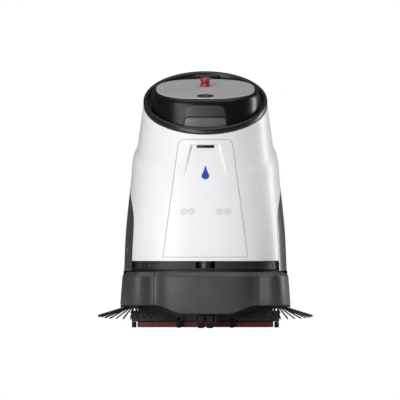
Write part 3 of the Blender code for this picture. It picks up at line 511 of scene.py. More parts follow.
def tube(path, radius, sides=16):
    """A round bar along a chain of points, closed at both ends."""
    bm = bmesh.new()
    rings = []
    side = None
    for index, point in enumerate(path):
        along = (Vector(path[min(index + 1, len(path) - 1)]) - Vector(path[max(index - 1, 0)])).normalized()
        side = (side or Vector((0, 0, 1))).cross(along).cross(along).normalized() * -1
        turn = Matrix((along.cross(side), side, along)).transposed().to_4x4()
        turn.translation = point
        ring = bmesh.ops.create_circle(bm, segments=sides, radius=radius, matrix=turn)["verts"]
        rings.append(list({edge for vert in ring for edge in vert.link_edges}))
        if len(rings) > 1:
            bmesh.ops.bridge_loops(bm, edges=rings[-2] + rings[-1])
    bmesh.ops.holes_fill(bm, edges=[edge for edge in bm.edges if edge.is_boundary], sides=0)
    bmesh.ops.recalc_face_normals(bm, faces=bm.faces)
    return bm


# ---------------------------------------------------------------- the body's skin

BODY_MIDDLE = Vector((0.0, 0.0, 0.5))


def rise_of(height):
    """How far up the body a height is, from 0 to 1."""
    return clamp((height - SKIN_ROWS[0][0]) / (SHELL_TOP - SKIN_ROWS[0][0]))


def skin(height, turn, inset=0.0):
    """A point of the body's skin. turn is 0 at the front, 90 degrees at the left, 180 at the rear."""
    half_width, front, rear = between(SKIN_ROWS, height)
    power = 2.0 / (3.0 - rise_of(height))
    centre_y = (front + rear) / 2
    depth = (rear - front) / 2 - inset
    x = (half_width - inset) * signed_power(math.sin(turn), power)
    y = centre_y - depth * signed_power(math.cos(turn), power)
    slant = RING_SLOPE * clamp((height - SLANT_START) / (SHELL_TOP - SLANT_START)) ** 1.5
    return Vector((x, y, height + slant * (y - centre_y)))


def skin_normal(height, turn):
    step = 0.002
    along = skin(height, turn + step) - skin(height, turn - step)
    up = skin(height + step, turn) - skin(height - step, turn)
    return along.cross(up).normalized()


def scoop(x, z):
    """Depth of the shallow scoop round the depth camera: deepest at its top, running out below."""
    fall = clamp((z - SCOOP_LOW) / 0.125)
    outer = 0.058 + (SCOOP_TOP - z) * 0.217
    inner = 0.047 + (SCOOP_TOP - z) * 0.260
    side = 1 - ease((abs(x) - inner) / (outer - inner))
    top = 1 - ease((z - 0.7035) / 0.011)
    return SCOOP_DEPTH * fall * side * top


def front_point(x, z):
    """The skin's point at this x and z on the front."""
    height = z
    for _ in range(12):
        half_width = between(SKIN_ROWS, height)[0]
        turn = math.asin(clamp(abs(x) / half_width) ** ((3.0 - rise_of(height)) / 2))
        point = skin(height, turn)
        height += z - point.z
    return Vector((x, point.y + scoop(x, z), z))


def door_share(height):
    """How much of the side door's width is left at this height: 1 at the bottom, 0 at its arched top."""
    return 1 - clamp((height - FRONT_BOTTOM) / (DOOR_TOP - FRONT_BOTTOM)) ** 4.8


def panel_half(z, grow=0.0):
    """Half width of the service panel, with rounded top corners."""
    share = (z - PANEL_BOTTOM) / (PANEL_TOP - PANEL_BOTTOM)
    straight = PANEL_BOTTOM_HALF + (PANEL_TOP_HALF - PANEL_BOTTOM_HALF) * share
    radius = PANEL_CORNER + grow
    into = clamp((z - (PANEL_TOP + grow - radius)) / radius)
    return straight + grow - radius * (1 - math.sqrt(1 - into * into))


def panel_heights(straight_rows, arc_rows, grow=0.0):
    """Heights of the panel's rows: even ones up to the corner's start, then closer along its arc."""
    low, knee = PANEL_BOTTOM - grow, PANEL_TOP - PANEL_CORNER
    arc = [knee + (PANEL_CORNER + grow) * math.sin(angle) for angle in spread(0, math.pi / 2, arc_rows + 1)]
    return spread(low, knee, straight_rows) + arc[1:]


def ring_plane(y):
    return RING_CENTRE_Z + RING_SLOPE * (y - RING_CENTRE_Y)


def plate_plane(y):
    return PLATE_FRONT_Z + PLATE_SLOPE * (y - PLATE_FRONT_Y)


def on_plate(y, x=0.0):
    """A frame on the lid's plate, its Z square to the sloping face."""
    return placed((x, y, plate_plane(y)), PLATE_TILT)


def on_front(x, z, lift=0.0):
    """A frame on the front skin, its Z pointing out of it and its Y up."""
    step = 0.004
    across = front_point(x + step, z) - front_point(x - step, z)
    up = front_point(x, z + step) - front_point(x, z - step)
    out = across.cross(up).normalized()
    across = up.cross(out).normalized()
    turn = Matrix((across, out.cross(across), out)).transposed().to_4x4()
    turn.translation = front_point(x, z) + out * lift
    return turn


# ---------------------------------------------------------------- the body: shells, panel, doors


def skin_rows(bottom, count):
    """Heights of a shell's rows, closer together round the side doors' arched tops."""
    lower = spread(bottom, ARCH_START, count // 4)
    arch = spread(ARCH_START, DOOR_TOP + 0.0005, count // 3)
    return lower + arch[1:] + spread(DOOR_TOP + 0.0005, SHELL_TOP, count // 2)[1:]


def rounded_panel(columns, rows, half, place):
    """A panel between -half(z) and half(z) whose rows are given, on the surface place(x, z)."""

    def across(u, v):
        z = pick(rows, v)
        return place((2 * u - 1) * half(z), z)

    return mapped(columns, len(rows) - 1, across, middle=BODY_MIDDLE)


def build_front_shell(columns):
    heights = skin_rows(FRONT_BOTTOM, 84)

    def place(u, v):
        height = pick(heights, v)
        edge = DOOR_MIDDLE - DOOR_FRONT_REACH * door_share(height) - SEAM_ANGLE
        return skin(height, (2 * u - 1) * edge)

    right = [(panel_half(z, SEAM), z) for z in panel_heights(12, 8, SEAM)]
    opening = cutter(prism(both_ends(right), -0.45, -0.16, "Y"))
    shell = mapped(columns, len(heights) - 1, place, middle=BODY_MIDDLE)
    finished("front_shell_fine", shell, "white_abs", "chassis", ["front_shell"],
             bevel=0.0016, wall=WALL, tools=[opening])


def build_rear_shell(columns):
    heights = skin_rows(REAR_BOTTOM, 64)

    def place(u, v):
        height = pick(heights, v)
        edge = DOOR_MIDDLE + DOOR_REAR_REACH * door_share(height) + SEAM_ANGLE
        return skin(height, edge + u * (math.tau - 2 * edge))

    lean = placed(SCREEN_CENTRE, SCREEN_LEAN)
    tools = [cutter(moved(block((0.1812, 0.060, 0.1112)), lean))]
    for _, side in SIDES:
        bore = placed((side * HANDLE_HALF, 0.28, HANDLE_Z), math.pi / 2)
        tools.append(cutter(moved(plug(HANDLE_RADIUS + 0.001, 0.08, 32), bore)))
    shell = mapped(columns, len(heights) - 1, place, middle=BODY_MIDDLE)
    finished("rear_shell_fine", shell, "white_abs", "chassis", ["rear_shell"],
             bevel=0.0016, wall=WALL, tools=tools)


def build_service_panel(columns):
    rows = panel_heights(90, 12)
    panel = rounded_panel(columns, rows, lambda z: max(panel_half(z), 0.0005), front_point)
    tools = [cutter(block((0.0694, 0.06, 0.0110), front_point(0, CAMERA_Z), 0.0035, 4))]
    for x in SONAR_X:
        for _, side in SIDES:
            hole = plug(SONAR_RADIUS + 0.0006, 0.02, 40)
            tools.append(cutter(moved(hole, on_front(side * x, SONAR_HEIGHT))))
    finished("service_panel_fine", panel, "white_abs", "chassis", ["service_panel"],
             bevel=0.0007, wall=0.0035, tools=tools)


def build_sensors(segments):
    """The four white sensor caps, and the camera's dark window with two lenses behind it."""
    dome = rounded_profile(
        [
            (0, 0.0012), (0.0085, 0.0012), (0.0092, 0.0004), (0.0100, 0.0012), (SONAR_RADIUS, 0.0010),
            (SONAR_RADIUS, -0.016), (0, -0.016)
        ],
        0.0008,
    )
    for name, side in SIDES:
        caps = [moved(turned(dome, segments), on_front(side * x, SONAR_HEIGHT)) for x in SONAR_X]
        middle = side * sum(SONAR_X) / 2
        bridge = block(
            (0.056, 0.006, 0.020), front_point(middle, SONAR_HEIGHT) + Vector((0, 0.015, 0)), 0.001
        )
        finished(f"sensor_caps_{name}", merged(*caps, bridge), "cap_abs", "chassis",
                 [f"ultrasonic_pair_{name}"])
    centre = front_point(0, CAMERA_Z) + Vector((0, 0.0062, 0))
    window = block((0.0674, 0.010, 0.0088), centre, 0.0026, 4)
    finished("camera_window_fine", window, "window", "chassis", ["depth_camera_window"])
    lens = rounded_profile(
        [(0, 0.0004), (0.0022, 0.0004), (0.0030, 0.0008), (0.0036, 0.0006), (0.0036, -0.001), (0, -0.001)],
        0.0003
    )
    rings = []
    for x in (-0.021, 0.021):
        face = placed(centre + Vector((x, -0.0046, 0)), math.pi / 2)
        rings.append(moved(turned(lens, 32), face))
    finished("camera_lenses", merged(*rings), "window", "chassis")


def build_badge(segments):
    """A plain blue water drop on the panel, 44 mm high."""
    low, radius, tip = 0.592, 0.0150, 0.630

    def outline(turn):
        lean = clamp(math.cos(turn))
        across = radius * math.sin(turn) * (1 - 0.55 * lean**1.5)
        return across, low + radius * math.cos(turn) + (tip - low - radius) * lean**3

    def place(u, v):
        x, z = outline(math.tau * u)
        share = min(v / 0.94, 1.0)
        point = front_point(x * share, low + 0.004 + (z - low - 0.004) * share)
        return point + Vector((0, -0.0011 if v < 0.95 else 0.0006, 0)) * (1 if v < 0.9 or v > 0.95 else 0.7)

    finished(
        "water_drop_badge", mapped(segments, 18, place, wrap=True), "badge_blue", "chassis"
    )


def build_side_doors(rows):
    heights = spread(REAR_BOTTOM, ARCH_START, rows // 3) + spread(ARCH_START, 0.5495, rows)[1:]
    for name, side in SIDES:

        def place(u, v, side=side):
            height = pick(heights, v)
            share = door_share(height)
            front = DOOR_MIDDLE - DOOR_FRONT_REACH * share + SEAM_ANGLE
            rear = DOOR_MIDDLE + DOOR_REAR_REACH * share - SEAM_ANGLE
            point = skin(height, front + u * (rear - front))
            return Vector((side * point.x, point.y, point.z))

        frame_of_latch = latch_frame(side)
        hole = cutter(moved(block((0.0206, 0.030, 0.0286), bevel=0.004), frame_of_latch))
        door = mapped(64, len(heights) - 1, place, middle=BODY_MIDDLE)
        finished(
            f"side_panel_{name}_fine", door, "door_gloss", f"door_{name}",
            [f"side_panel_{name}"], bevel=0.0016, wall=WALL, tools=[hole]
        )
        pad = moved(block((0.020, 0.010, 0.028), (0, 0.0035, 0), 0.0035, 4), frame_of_latch)
        arc = [
            Vector((0.0052 * math.cos(a), -0.0016, 0.0062 * math.sin(a)))
            for a in spread(0.6, math.tau - 0.6, 20)
        ]
        mark = moved(tube(arc, 0.0011, 8), frame_of_latch)
        finished(
            f"latch_button_{name}", pad, "dark_satin", f"latch_{name}", [f"side_latch_{name}"]
        )
        finished(f"latch_mark_{name}", mark, "grey_trim_and_highlight", f"latch_{name}")


def latch_frame(side):
    """Place of the latch button in the door: its -Y points outwards."""
    point, normal = skin(LATCH_HEIGHT, LATCH_TURN), skin_normal(LATCH_HEIGHT, LATCH_TURN)
    if normal.x < 0:
        normal = -normal
    inward = Vector((-side * normal.x, -normal.y, -normal.z))
    across = inward.cross(Vector((0, 0, 1))).normalized()
    frame_of_latch = Matrix((across, inward, across.cross(inward))).transposed().to_4x4()
    frame_of_latch.translation = Vector((side * point.x, point.y, point.z))
    return frame_of_latch


def build_rear_fittings(sides):
    """The push handle, and the display with its bezel."""
    bend = 0.045
    corner_x, corner_y = HANDLE_HALF - bend, HANDLE_REAR - bend
    arc = [(corner_x + bend * math.cos(a), corner_y + bend * math.sin(a)) for a in spread(0, math.pi / 2, 13)]
    left = [(HANDLE_HALF, 0.236), (HANDLE_HALF, 0.300)] + arc
    path = [Vector((x, y, HANDLE_Z)) for x, y in both_ends(left)]
    handle = tube(path, HANDLE_RADIUS, sides)
    finished("push_handle_fine", handle, "black_rubber", "chassis", ["push_handle"])
    lean = placed(SCREEN_CENTRE, SCREEN_LEAN)
    bezel = block((0.180, 0.026, 0.110), bevel=0.005, segments=4)
    recess = cutter(moved(block((0.160, 0.010, 0.090), (0, 0.0125, 0), 0.003), lean))
    finished("display_bezel", moved(bezel, lean), "dark_satin", "chassis", ["display_screen"],
             tools=[recess])
    glass = block((0.1592, 0.004, 0.0892), (0, 0.0100, 0), 0.0018)
    finished("display_glass_pane", moved(glass, lean), "display", "chassis")


# ---------------------------------------------------------------- the top: ring, lid, buttons


def oval(u, share, half_width, half_depth):
    """A point of the lid's rounded outline, u of the way round from the front, at this share of its size."""
    x = share * half_width * signed_power(math.sin(math.tau * u), 2 / HEAD_POWER)
    return x, HEAD_CENTRE_Y - share * half_depth * signed_power(math.cos(math.tau * u), 2 / HEAD_POWER)


def lid_wall(x):
    """The lid's front wall at this x."""
    across = (abs(x) / HEAD_HALF_WIDTH) ** HEAD_POWER
    return HEAD_CENTRE_Y - HEAD_HALF_DEPTH * (1 - across) ** (1 / HEAD_POWER)


def lid_shoulder(y):
    """Depth of the lid's rounded shoulder: less towards the rear, where its wall is low."""
    return min(HEAD_SHOULDER, 0.5 * (plate_plane(y) - ring_plane(y)))


def build_collar_ring(segments):
    def place(u, v):
        turn, about = math.tau * u, math.tau * v
        out = RING_RADIAL * signed_power(math.cos(about), 0.6)
        up = RING_VERTICAL * signed_power(math.sin(about), 0.6)
        y = RING_CENTRE_Y - (RING_HALF_DEPTH + out) * math.cos(turn)
        return Vector(((RING_HALF_WIDTH + out) * math.sin(turn), y, ring_plane(y) + up))

    finished(
        "collar_ring_fine", mapped(segments, 32, place, wrap=True), "black_gloss", "chassis",
        ["collar_ring"], sharp=60
    )

    def deck(u, v):
        share, level = pick(DECK_LEVELS, v)
        y = RING_CENTRE_Y - share * DECK_HALF_DEPTH * math.cos(math.tau * u)
        return Vector((share * DECK_HALF_WIDTH * math.sin(math.tau * u), y, ring_plane(y) + level))

    filler = moved(
        turned([(0, 1.0), (0.085, 1.0), (0.085, 0.8), (0, 0.8)], 64), Matrix.Translation((0, 0.06, 0))
    )
    # The deck in the ring takes painted shade: its near black stands for the shade between the ring and the
    # lid.
    finished(
        "top_deck_fine", mapped(segments, 5, deck, wrap=True), "painted_shade_black", "chassis",
        ["top_deck"], tools=[cutter(filler)]
    )


def build_lid(segments):
    """The lid's drum with its hinge tongue, the grip on its front and the tab below."""
    under = -0.0115
    # Each level: (share of the outline, the plane it follows, height over it, part of the shoulder)
    levels = [
        (0.0, plate_plane, under, 0.0), (0.88, plate_plane, under, 0.0), (0.94, plate_plane, under, 0.3),
        (0.968, plate_plane, under, 0.9), (0.974, ring_plane, -0.0050, 0.0),
        (0.997, ring_plane, -0.0050, 0.0), (1.0, ring_plane, -0.0042, 0.0), (1.0, ring_plane, -0.0036, 0.0)
    ]
    for angle in spread(math.pi / 2, 0, 12):
        levels.append((0.915 + 0.085 * math.sin(angle), plate_plane, -0.0036, 1 - math.cos(angle)))
    levels += [(0.90, plate_plane, -0.0036, 0.0), (0.0, plate_plane, -0.0036, 0.0)]

    def place(u, v):
        share, plane, level, drop = pick(levels, v)
        x, y = oval(u, share, HEAD_HALF_WIDTH, HEAD_HALF_DEPTH)
        return Vector((x, y, plane(y) + level - drop * lid_shoulder(y)))

    pocket = cutter(
        moved(
            turned(
                [(0, 0.02), (START_RADIUS + 0.0008, 0.02), (START_RADIUS + 0.0008, -0.0086), (0, -0.0086)]
            ),
            on_plate(START_Y)
        )
    )
    drum = mapped(segments, len(levels) - 1, place, wrap=True)
    finished("lid_drum", drum, "drum_black", "head_lid", ["head_shell"], tools=[pocket])
    tongue = moved(
        block((0.080, 0.031, 0.005), bevel=0.0012),
        placed(HINGE_AXIS + Vector((0, -0.0165, -0.0088)), math.radians(19))
    )
    ring = [(0.0033, 0.040), (0.0075, 0.040), (0.0075, -0.040), (0.0033, -0.040)]
    barrel = moved(turned(ring, 32, "X", closed=True), Matrix.Translation(HINGE_AXIS))
    finished("lid_hinge_tongue", merged(tongue, barrel), "black_gloss", "head_lid")

    def panel(name, low, top, low_half, top_half, radius, stand, thick, finish, replaced, drop):
        knee = top - radius
        arc = [knee + radius * math.sin(a) for a in spread(0, math.pi / 2, 9)]
        rows = spread(low, knee, 16) + arc[1:]

        def half(z):
            straight = low_half + (top_half - low_half) * clamp((z - low) / (top - low))
            into = clamp((z - knee) / radius)
            return straight - radius * (1 - math.sqrt(max(1 - into * into, 0)))

        def at(x, z):
            wall = lid_wall(x)
            floor = ring_plane(wall) + drop
            level = floor + (z - low) / (top - low) * (top - floor) if drop else z
            return Vector((x, wall - stand, level))

        finished(
            name, rounded_panel(40, rows, half, at), finish, "head_lid", replaced, bevel=0.0012,
            wall=thick
        )

    panel("lid_grip", 0.8170, 0.8630, 0.0820, 0.0700, 0.0200, 0.0018, 0.0035, "grip_black", (), 0.0)
    # The black sheet round the finger tab is painted shadow: it stands for the dark gap round the tab.
    panel("lid_tab_painted_shadow", 0.7700, 0.8215, 0.0875, 0.0855, 0.0180, 0.0034, 0.0035, "painted_shade_black", (), -0.0030)
    panel(
        "lid_finger_tab", 0.7700, TAB_TOP, 0.0810, 0.0790, 0.0150, 0.0055, 0.0050, "grip_grey", ["grip_tab"],
        -0.0035
    )


def build_plate(segments):
    """The grey top plate with the fine seam of its inlay."""
    shares = [(0.0, -0.0033), (0.985, -0.0033), (1.0, -0.0028)]
    shares += [
        (1 - 0.012 * (1 - math.cos(a)), -0.0018 + 0.0018 * math.sin(a)) for a in spread(0, math.pi / 2, 6)
    ]
    shares += [(0.9, 0.0), (0.0, 0.0)]

    def place(u, v):
        share, level = pick(shares, v)
        x, y = oval(u, share, PLATE_HALF_WIDTH, PLATE_HALF_DEPTH)
        return Vector((x, y, plate_plane(y) + level))

    hole = plug(START_RADIUS + 0.0008, 0.02)
    middle, depth = -0.0055, 0.163
    lips = []
    for size, x, y in (((0.0012, depth, 0.0016), 0.151, 0), ((0.0012, depth, 0.0016), -0.151, 0),
                       ((0.3032, 0.0012, 0.0016), 0, depth / 2), ((0.3032, 0.0012, 0.0016), 0, -depth / 2)):
        lips.append(cutter(moved(block(size, (x, y, 0)), on_plate(middle))))
    plate = mapped(segments, len(shares) - 1, place, wrap=True)
    finished("lid_plate", plate, "plate_grey", "head_lid", ["head_plate"],
             tools=[cutter(moved(hole, on_plate(START_Y)))] + lips)


def build_buttons(segments):
    """The emergency stop with its collar, and the start button with a pale disc in its middle as a painted
    highlight.
    """
    seat = on_plate(ESTOP_Y)
    collar = rounded_profile(
        [
            (0.0085, 0.0003), (0.0200, 0.0003), (0.0200, 0.0055), (0.0182, 0.0070), (0.0182, 0.0125),
            (0.0085, 0.0125), (0.0085, 0.0003)
        ],
        0.0010,
    )
    finished(
        "stop_collar_fine", moved(turned(collar, segments), seat), "signal_red", "head_lid",
        ["estop_collar"]
    )
    cap = rounded_profile(
        [
            (0, 0.0345), (0.0165, 0.0340), (0.0203, 0.0310), (0.0203, 0.0245), (0.0180, 0.0228),
            (0.0188, 0.0212), (0.0188, 0.0180), (0.0175, 0.0170), (0.0080, 0.0170), (0.0080, 0.0050),
            (0, 0.0050)
        ],
        0.0020, 4,
    )
    finished(
        "stop_mushroom", moved(turned(cap, segments), seat), "signal_red", "estop",
        ["estop_button"]
    )
    face = rounded_profile(
        [
            (0, -0.0010), (0.0098, -0.0010), (0.0104, 0.0008), (0.0270, 0.0008), (0.0276, 0.0000),
            (0.0284, 0.0008), (START_RADIUS, 0.0008), (START_RADIUS, -0.0055), (0, -0.0055)
        ],
        0.0006,
    )
    finished(
        "start_button_fine", moved(turned(face, segments), on_plate(START_Y)), "black_gloss", "start",
        ["start_button"]
    )
    # The pale disc in the middle of the start button is a painted highlight on its black face.
    painted_highlight = rounded_profile([(0, 0.0004), (0.0092, 0.0004), (0.0092, -0.0008), (0, -0.0008)], 0.0004)
    finished(
        "start_button_painted_highlight", moved(turned(painted_highlight, segments), on_plate(START_Y)), "grey_trim_and_highlight", "start",
    )


# ---------------------------------------------------------------- the base: sensor band, skirt, bumper


def build_sensor_band(columns):
    """The band under the shell, its darker grey painted shade, with its slots and dots, and the laser scanner
    in its gap.
    """
    edge, low = math.radians(56), CHASSIS_TOP + 0.0028
    band = mapped(
        columns, 6, lambda u, v: skin(low + v * (0.2600 - low), (2 * u - 1) * edge, BAY_INSET),
        middle=BODY_MIDDLE
    )

    def on_band(x, z):
        turn = math.asin(clamp(abs(x) / (SKIN_ROWS[0][1] - BAY_INSET)) ** 1.5)
        return skin(z, math.copysign(turn, x), BAY_INSET)

    tools = [cutter(block((0.074, 0.06, 0.08), (0, -0.36, low + 0.044)))]
    # Small recesses of the band: (middle x, middle z, width, height, depth)
    recesses = ((-0.2568, 0.2430, 0.0225, 0.0120, 0.0025), (-0.2208, 0.2430, 0.0350, 0.0130, 0.0010),
                (0.2626, 0.2430, 0.0035, 0.0150, 0.0025), (-0.1250, 0.2345, 0.1300, 0.0010, 0.0020),
                (0.1250, 0.2345, 0.1300, 0.0010, 0.0020))
    for x, z, width, height, deep in recesses:
        tools.append(
            cutter(
                block((width, 2 * deep + 0.004, height), on_band(x, z) + Vector((0, -0.002, 0)), 0.0004, 2)
            )
        )
    for x, z, radius in ((-0.047, 0.2440, 0.0052), (0.209, 0.2430, 0.0030), (0.239, 0.2430, 0.0030)):
        tools.append(cutter(moved(plug(radius, 0.0025, 24), placed(on_band(x, z), math.pi / 2))))
    # The band's darker grey is painted shade, as under the shell's lower edge.
    finished("sensor_band", band, "band_grey", "chassis", ["sensor_bay"], bevel=0.0008,
             wall=BAY_WALL, tools=tools)
    base = low + 0.0043
    body = rounded_profile(
        [
            (0, 0.2597), (0.0295, 0.2597), (0.0310, 0.2580), (0.0310, 0.2525), (0.0298, 0.2520),
            (0.0298, 0.2395), (0.0310, 0.2390), (0.0310, base), (0, base)
        ],
        0.0006,
    )
    finished(
        "laser_scanner", moved(turned(body, 72), Matrix.Translation((0, SCANNER_Y, 0))), "black_gloss",
        "chassis", ["lidar_body"]
    )


def build_rear_skirt(columns):
    def place(u, v):
        first = math.radians(82)
        turn = first + u * (math.tau - 2 * first)
        x = (BASE_HALF_WIDTH - 0.0125 * v) * signed_power(math.sin(turn), 2 / 3)
        y = -(SKIRT_HALF_DEPTH - 0.019 * v) * signed_power(math.cos(turn), 2 / 3)
        low = SKIRT_LOW + (SKIRT_REAR_LOW - SKIRT_LOW) * ease((y - 0.205) / 0.060)
        return Vector((x, y, low + (SKIRT_TOP - low) * v))

    finished(
        "rear_skirt_fine", mapped(columns, 12, place, middle=BODY_MIDDLE), "dark_satin", "chassis",
        ["rear_skirt"], bevel=0.0015, wall=WALL
    )
    pad = block((0.130, 0.018, 0.050), (0, 0.382, 0.160), 0.003)
    finished("dock_contact_block", pad, "dark_matt", "chassis")
    strips = [block((0.100, 0.0012, 0.008), (0, 0.3906, z), 0.0004) for z in (0.148, 0.172)]
    finished("dock_contact_strips", merged(*strips), "zinc", "chassis")


def bumper_section(low):
    """The bumper's rounded section over its lower edge, as (step inwards, height)."""
    top = BUMPER_TOP
    corners = [
        (0.007, low), (0.0, low + 0.001), (0.0, low + 0.5 * (top - low)), (0.0, top), (0.024, top + 0.0172),
        (0.024, top + 0.0134), (0.014, top + 0.0022), (0.014, low), (0.007, low)
    ]
    return rounded_profile(corners, 0.0035, 3)


def build_bumper(per_point):
    """Three mouldings swept along the bumper's plan, with the lower edge rising towards the sides."""
    full = [(-x, y) for x, y in reversed(BUMPER_CENTRE[1:])] + list(BUMPER_CENTRE)
    corner = list(BUMPER_CORNER)
    for name, plan in (
        ("centre", full), ("corner_left", corner), ("corner_right", [(-x, y) for x, y in reversed(corner)])
    ):
        points = [Vector((x, y, 0)) for x, y in smooth_path(plan, (len(plan) - 1) * per_point + 1)]
        count = len(points) - 1
        sections = []
        for index, point in enumerate(points):
            along = points[min(index + 1, count)] - points[max(index - 1, 0)]
            inward = Vector((-along.y, along.x, 0)).normalized()
            low = BUMPER_LOW + (BUMPER_SIDE_LOW - BUMPER_LOW) * ease((abs(point.x) - 0.085) / 0.115)
            chain = []
            for step, height in bumper_section(low):
                place_at = point + inward * step
                share = clamp((height - low) / (BUMPER_TOP - low))
                draft = 0.0255 * share * (abs(place_at.x) / BASE_HALF_WIDTH) ** 4
                chain.append(Vector((place_at.x * (1 - draft), place_at.y, height)))
            sections.append(chain)
        rows = len(sections[0]) - 1
        sweep = mapped(
            count, rows, lambda u, v, sections=sections: pick(pick(sections, u), v), wrap=True
        )
        finished(
            f"bumper_{name}_fine", sweep, "dark_satin", "bumper", [f"bumper_{name}"],
            bevel=0.0009
        )


# ---------------------------------------------------------------- brushes, wheels, deck


def build_side_brushes(tufts, strands):
    """Stiff nylon tufts round each side brush: bundles of tapered strands that splay towards their tips."""
    chance = random.Random(7)
    start, end = Vector((0.0290, 0, -0.0065)), Vector((BRUSH_RADIUS - 0.001, 0, -0.0440))
    way = end - start
    lie = way.to_track_quat("Z", "Y").to_matrix().to_4x4()
    # A tuft is 4 mm across at its root and about 6 mm at its tip. A strand, 1.9 mm at its root and 1.2 mm
    # at its tip, is drawn coarser than real nylon, so that it shows.
    for name, side in SIDES:
        centre = Vector((side * BRUSH_X, BRUSH_Y, BRUSH_Z))
        lean = placed(centre, BRUSH_TILT)
        bm = bmesh.new()
        for tuft in range(tufts):
            turn = Matrix.Rotation(math.tau * tuft / tufts, 4, "Z")
            for _ in range(strands):
                about, out = chance.uniform(0, math.tau), math.sqrt(chance.random())
                root = Vector((0.0020 * out * math.cos(about), 0.0020 * out * math.sin(about), 0))
                tip = Vector((0.0026 * out * math.cos(about), 0.0032 * out * math.sin(about), 0))
                long = way.length * chance.uniform(0.93, 1.0)
                strand_way = Vector((0, 0, long)) + tip - root
                strand = bmesh.ops.create_cone(
                    bm, cap_ends=True, segments=5, radius1=0.00095, radius2=0.00060, depth=strand_way.length
                )
                place_strand = Matrix.Translation(start) @ lie @ Matrix.Translation(root + strand_way / 2)
                place_strand = place_strand @ strand_way.to_track_quat("Z", "Y").to_matrix().to_4x4()
                bmesh.ops.transform(bm, matrix=lean @ turn @ place_strand, verts=strand["verts"])
        finished(
            f"side_brush_tufts_{name}", bm, "nylon", f"brush_{name}",
            [f"side_brush_bristles_{name}"]
        )
        ring = rounded_profile(
            [
                (0.0264, 0.0), (0.0310, -0.001), (0.0325, -0.004), (0.0325, -0.010), (0.0264, -0.012),
                (0.0264, 0.0)
            ],
            0.001
        )
        hub = rounded_profile(
            [(0, 0.008), (0.022, 0.008), (0.026, 0.003), (0.026, -0.012), (0, -0.012)], 0.0015
        )
        cores = merged(moved(turned(ring, 48), lean), moved(turned(hub, 48), lean))
        finished(
            f"side_brush_core_{name}", cores, "dark_satin", f"brush_{name}",
            [f"side_brush_hub_{name}"]
        )


def build_wheels(segments):
    """Drive tyres with cut treads and their hubs, the twin caster wheels, and the deck's small wheels."""
    half = DRIVE_WIDTH / 2
    outer = [(0.0643, half - 0.004), (0.070, half), (0.092, half), (DRIVE_RADIUS, half - 0.007)]
    chain = rounded_profile(both_faces(outer), 0.0025)
    for name, side in SIDES:
        place_wheel = Matrix.Translation((side * DRIVE_X, DRIVE_Y, DRIVE_RADIUS))

        def tread(u, v):
            radius, height = pick(chain, v)
            groove = 0.0025 if radius > 0.0965 and round(u * segments) % 6 in (0, 1) else 0.0
            turn = math.tau * u
            return Vector((height, (radius - groove) * math.cos(turn), (radius - groove) * math.sin(turn)))

        tyre = moved(mapped(segments, len(chain) - 1, tread, wrap=True), place_wheel)
        finished(
            f"drive_tyre_{name}_fine", tyre, "tyre", f"drive_{name}", [f"drive_tyre_{name}"]
        )
        hub = [
            (0, 0.012), (0.022, 0.012), (0.026, 0.004), (0.050, 0.004), (0.054, 0.016), (0.064, 0.016),
            (0.064, -0.016), (0.054, -0.016), (0.050, -0.006), (0.026, -0.006), (0.022, -0.018), (0, -0.018)
        ]
        wheel = moved(turned(rounded_profile(hub, 0.0012), 72, "X"), place_wheel)
        finished(
            f"drive_hub_{name}_fine", wheel, "zinc", f"drive_{name}", [f"drive_hub_{name}"]
        )
        seat = Matrix.Translation((side * CASTER_X, CASTER_Y, CASTER_RADIUS))
        half_tread = [(0.0300, 0.0125), (0.0330, 0.0135), (CASTER_RADIUS, 0.0095)]
        rubber = moved(turned(rounded_profile(both_faces(half_tread), 0.0012), 64, "X"), seat)
        finished(f"caster_tread_{name}", rubber, "black_rubber", f"caster_wheel_{name[0]}",
                 [f"caster_wheel_{name}"])
        half_rim = [
            (0.0044, 0.0130), (0.0100, 0.0135), (0.0115, 0.0105), (0.0255, 0.0105), (0.0270, 0.0130),
            (0.0299, 0.0128)
        ]
        face = moved(turned(rounded_profile(both_faces(half_rim), 0.0008), 64, "X"), seat)
        finished(f"caster_rim_{name}", face, "grip_grey", f"caster_wheel_{name[0]}")
        small = rounded_profile(
            [
                (0, 0.0088), (0.0100, 0.0088), (0.0110, 0.0076), (0.018, 0.0080), (0.018, -0.0080),
                (0.0110, -0.0076), (0.0100, -0.0088), (0, -0.0088)
            ],
            0.0010
        )
        gauge = moved(turned(small, 48, "X"), Matrix.Translation((side * GAUGE_X, GAUGE_Y, GAUGE_RADIUS)))
        finished(
            f"gauge_wheel_{name}_fine", gauge, "black_rubber", f"gauge_{name[0]}",
            [f"gauge_wheel_{name}"]
        )
        roll = rounded_profile([(0, 0.0112), (0.009, 0.0112), (0.009, -0.0112), (0, -0.0112)], 0.0022)
        guard = moved(turned(roll, 40), Matrix.Translation((side * GUARD_X, GUARD_Y, GUARD_Z)))
        finished(f"end_roller_{name}_fine", guard, "black_rubber", f"end_roller_{name[0]}",
                 [f"deck_end_roller_{name}"])


def build_roller(rings):
    """The scrub roller: a core with short stiff tufts along a spiral."""
    core = rounded_profile(
        [
            (0, 0.2550), (0.008, 0.2550), (0.008, 0.245), (0.037, 0.245), (0.037, -0.245), (0.008, -0.245),
            (0.008, -0.2550), (0, -0.2550)
        ],
        0.001
    )
    bm = turned(core, 48)
    for row in range(rings):
        height = -0.241 + 0.482 * row / (rings - 1)
        for step in range(ROLLER_TUFTS):
            turn = Matrix.Rotation(math.tau * (step + row * 0.37) / ROLLER_TUFTS, 4, "Z")
            tuft = bmesh.ops.create_cone(
                bm, cap_ends=True, segments=5, radius1=0.0028, radius2=0.0036, depth=0.0135
            )
            stand = placed((0.0426, 0, height), math.pi / 2, "Y")
            bmesh.ops.transform(bm, matrix=turn @ stand, verts=tuft["verts"])
    moved(bm, placed((0, ROLLER_Y, ROLLER_Z), math.pi / 2, "Y"))
    finished("scrub_roller", bm, "nylon", "roller", ["roller_brush"])


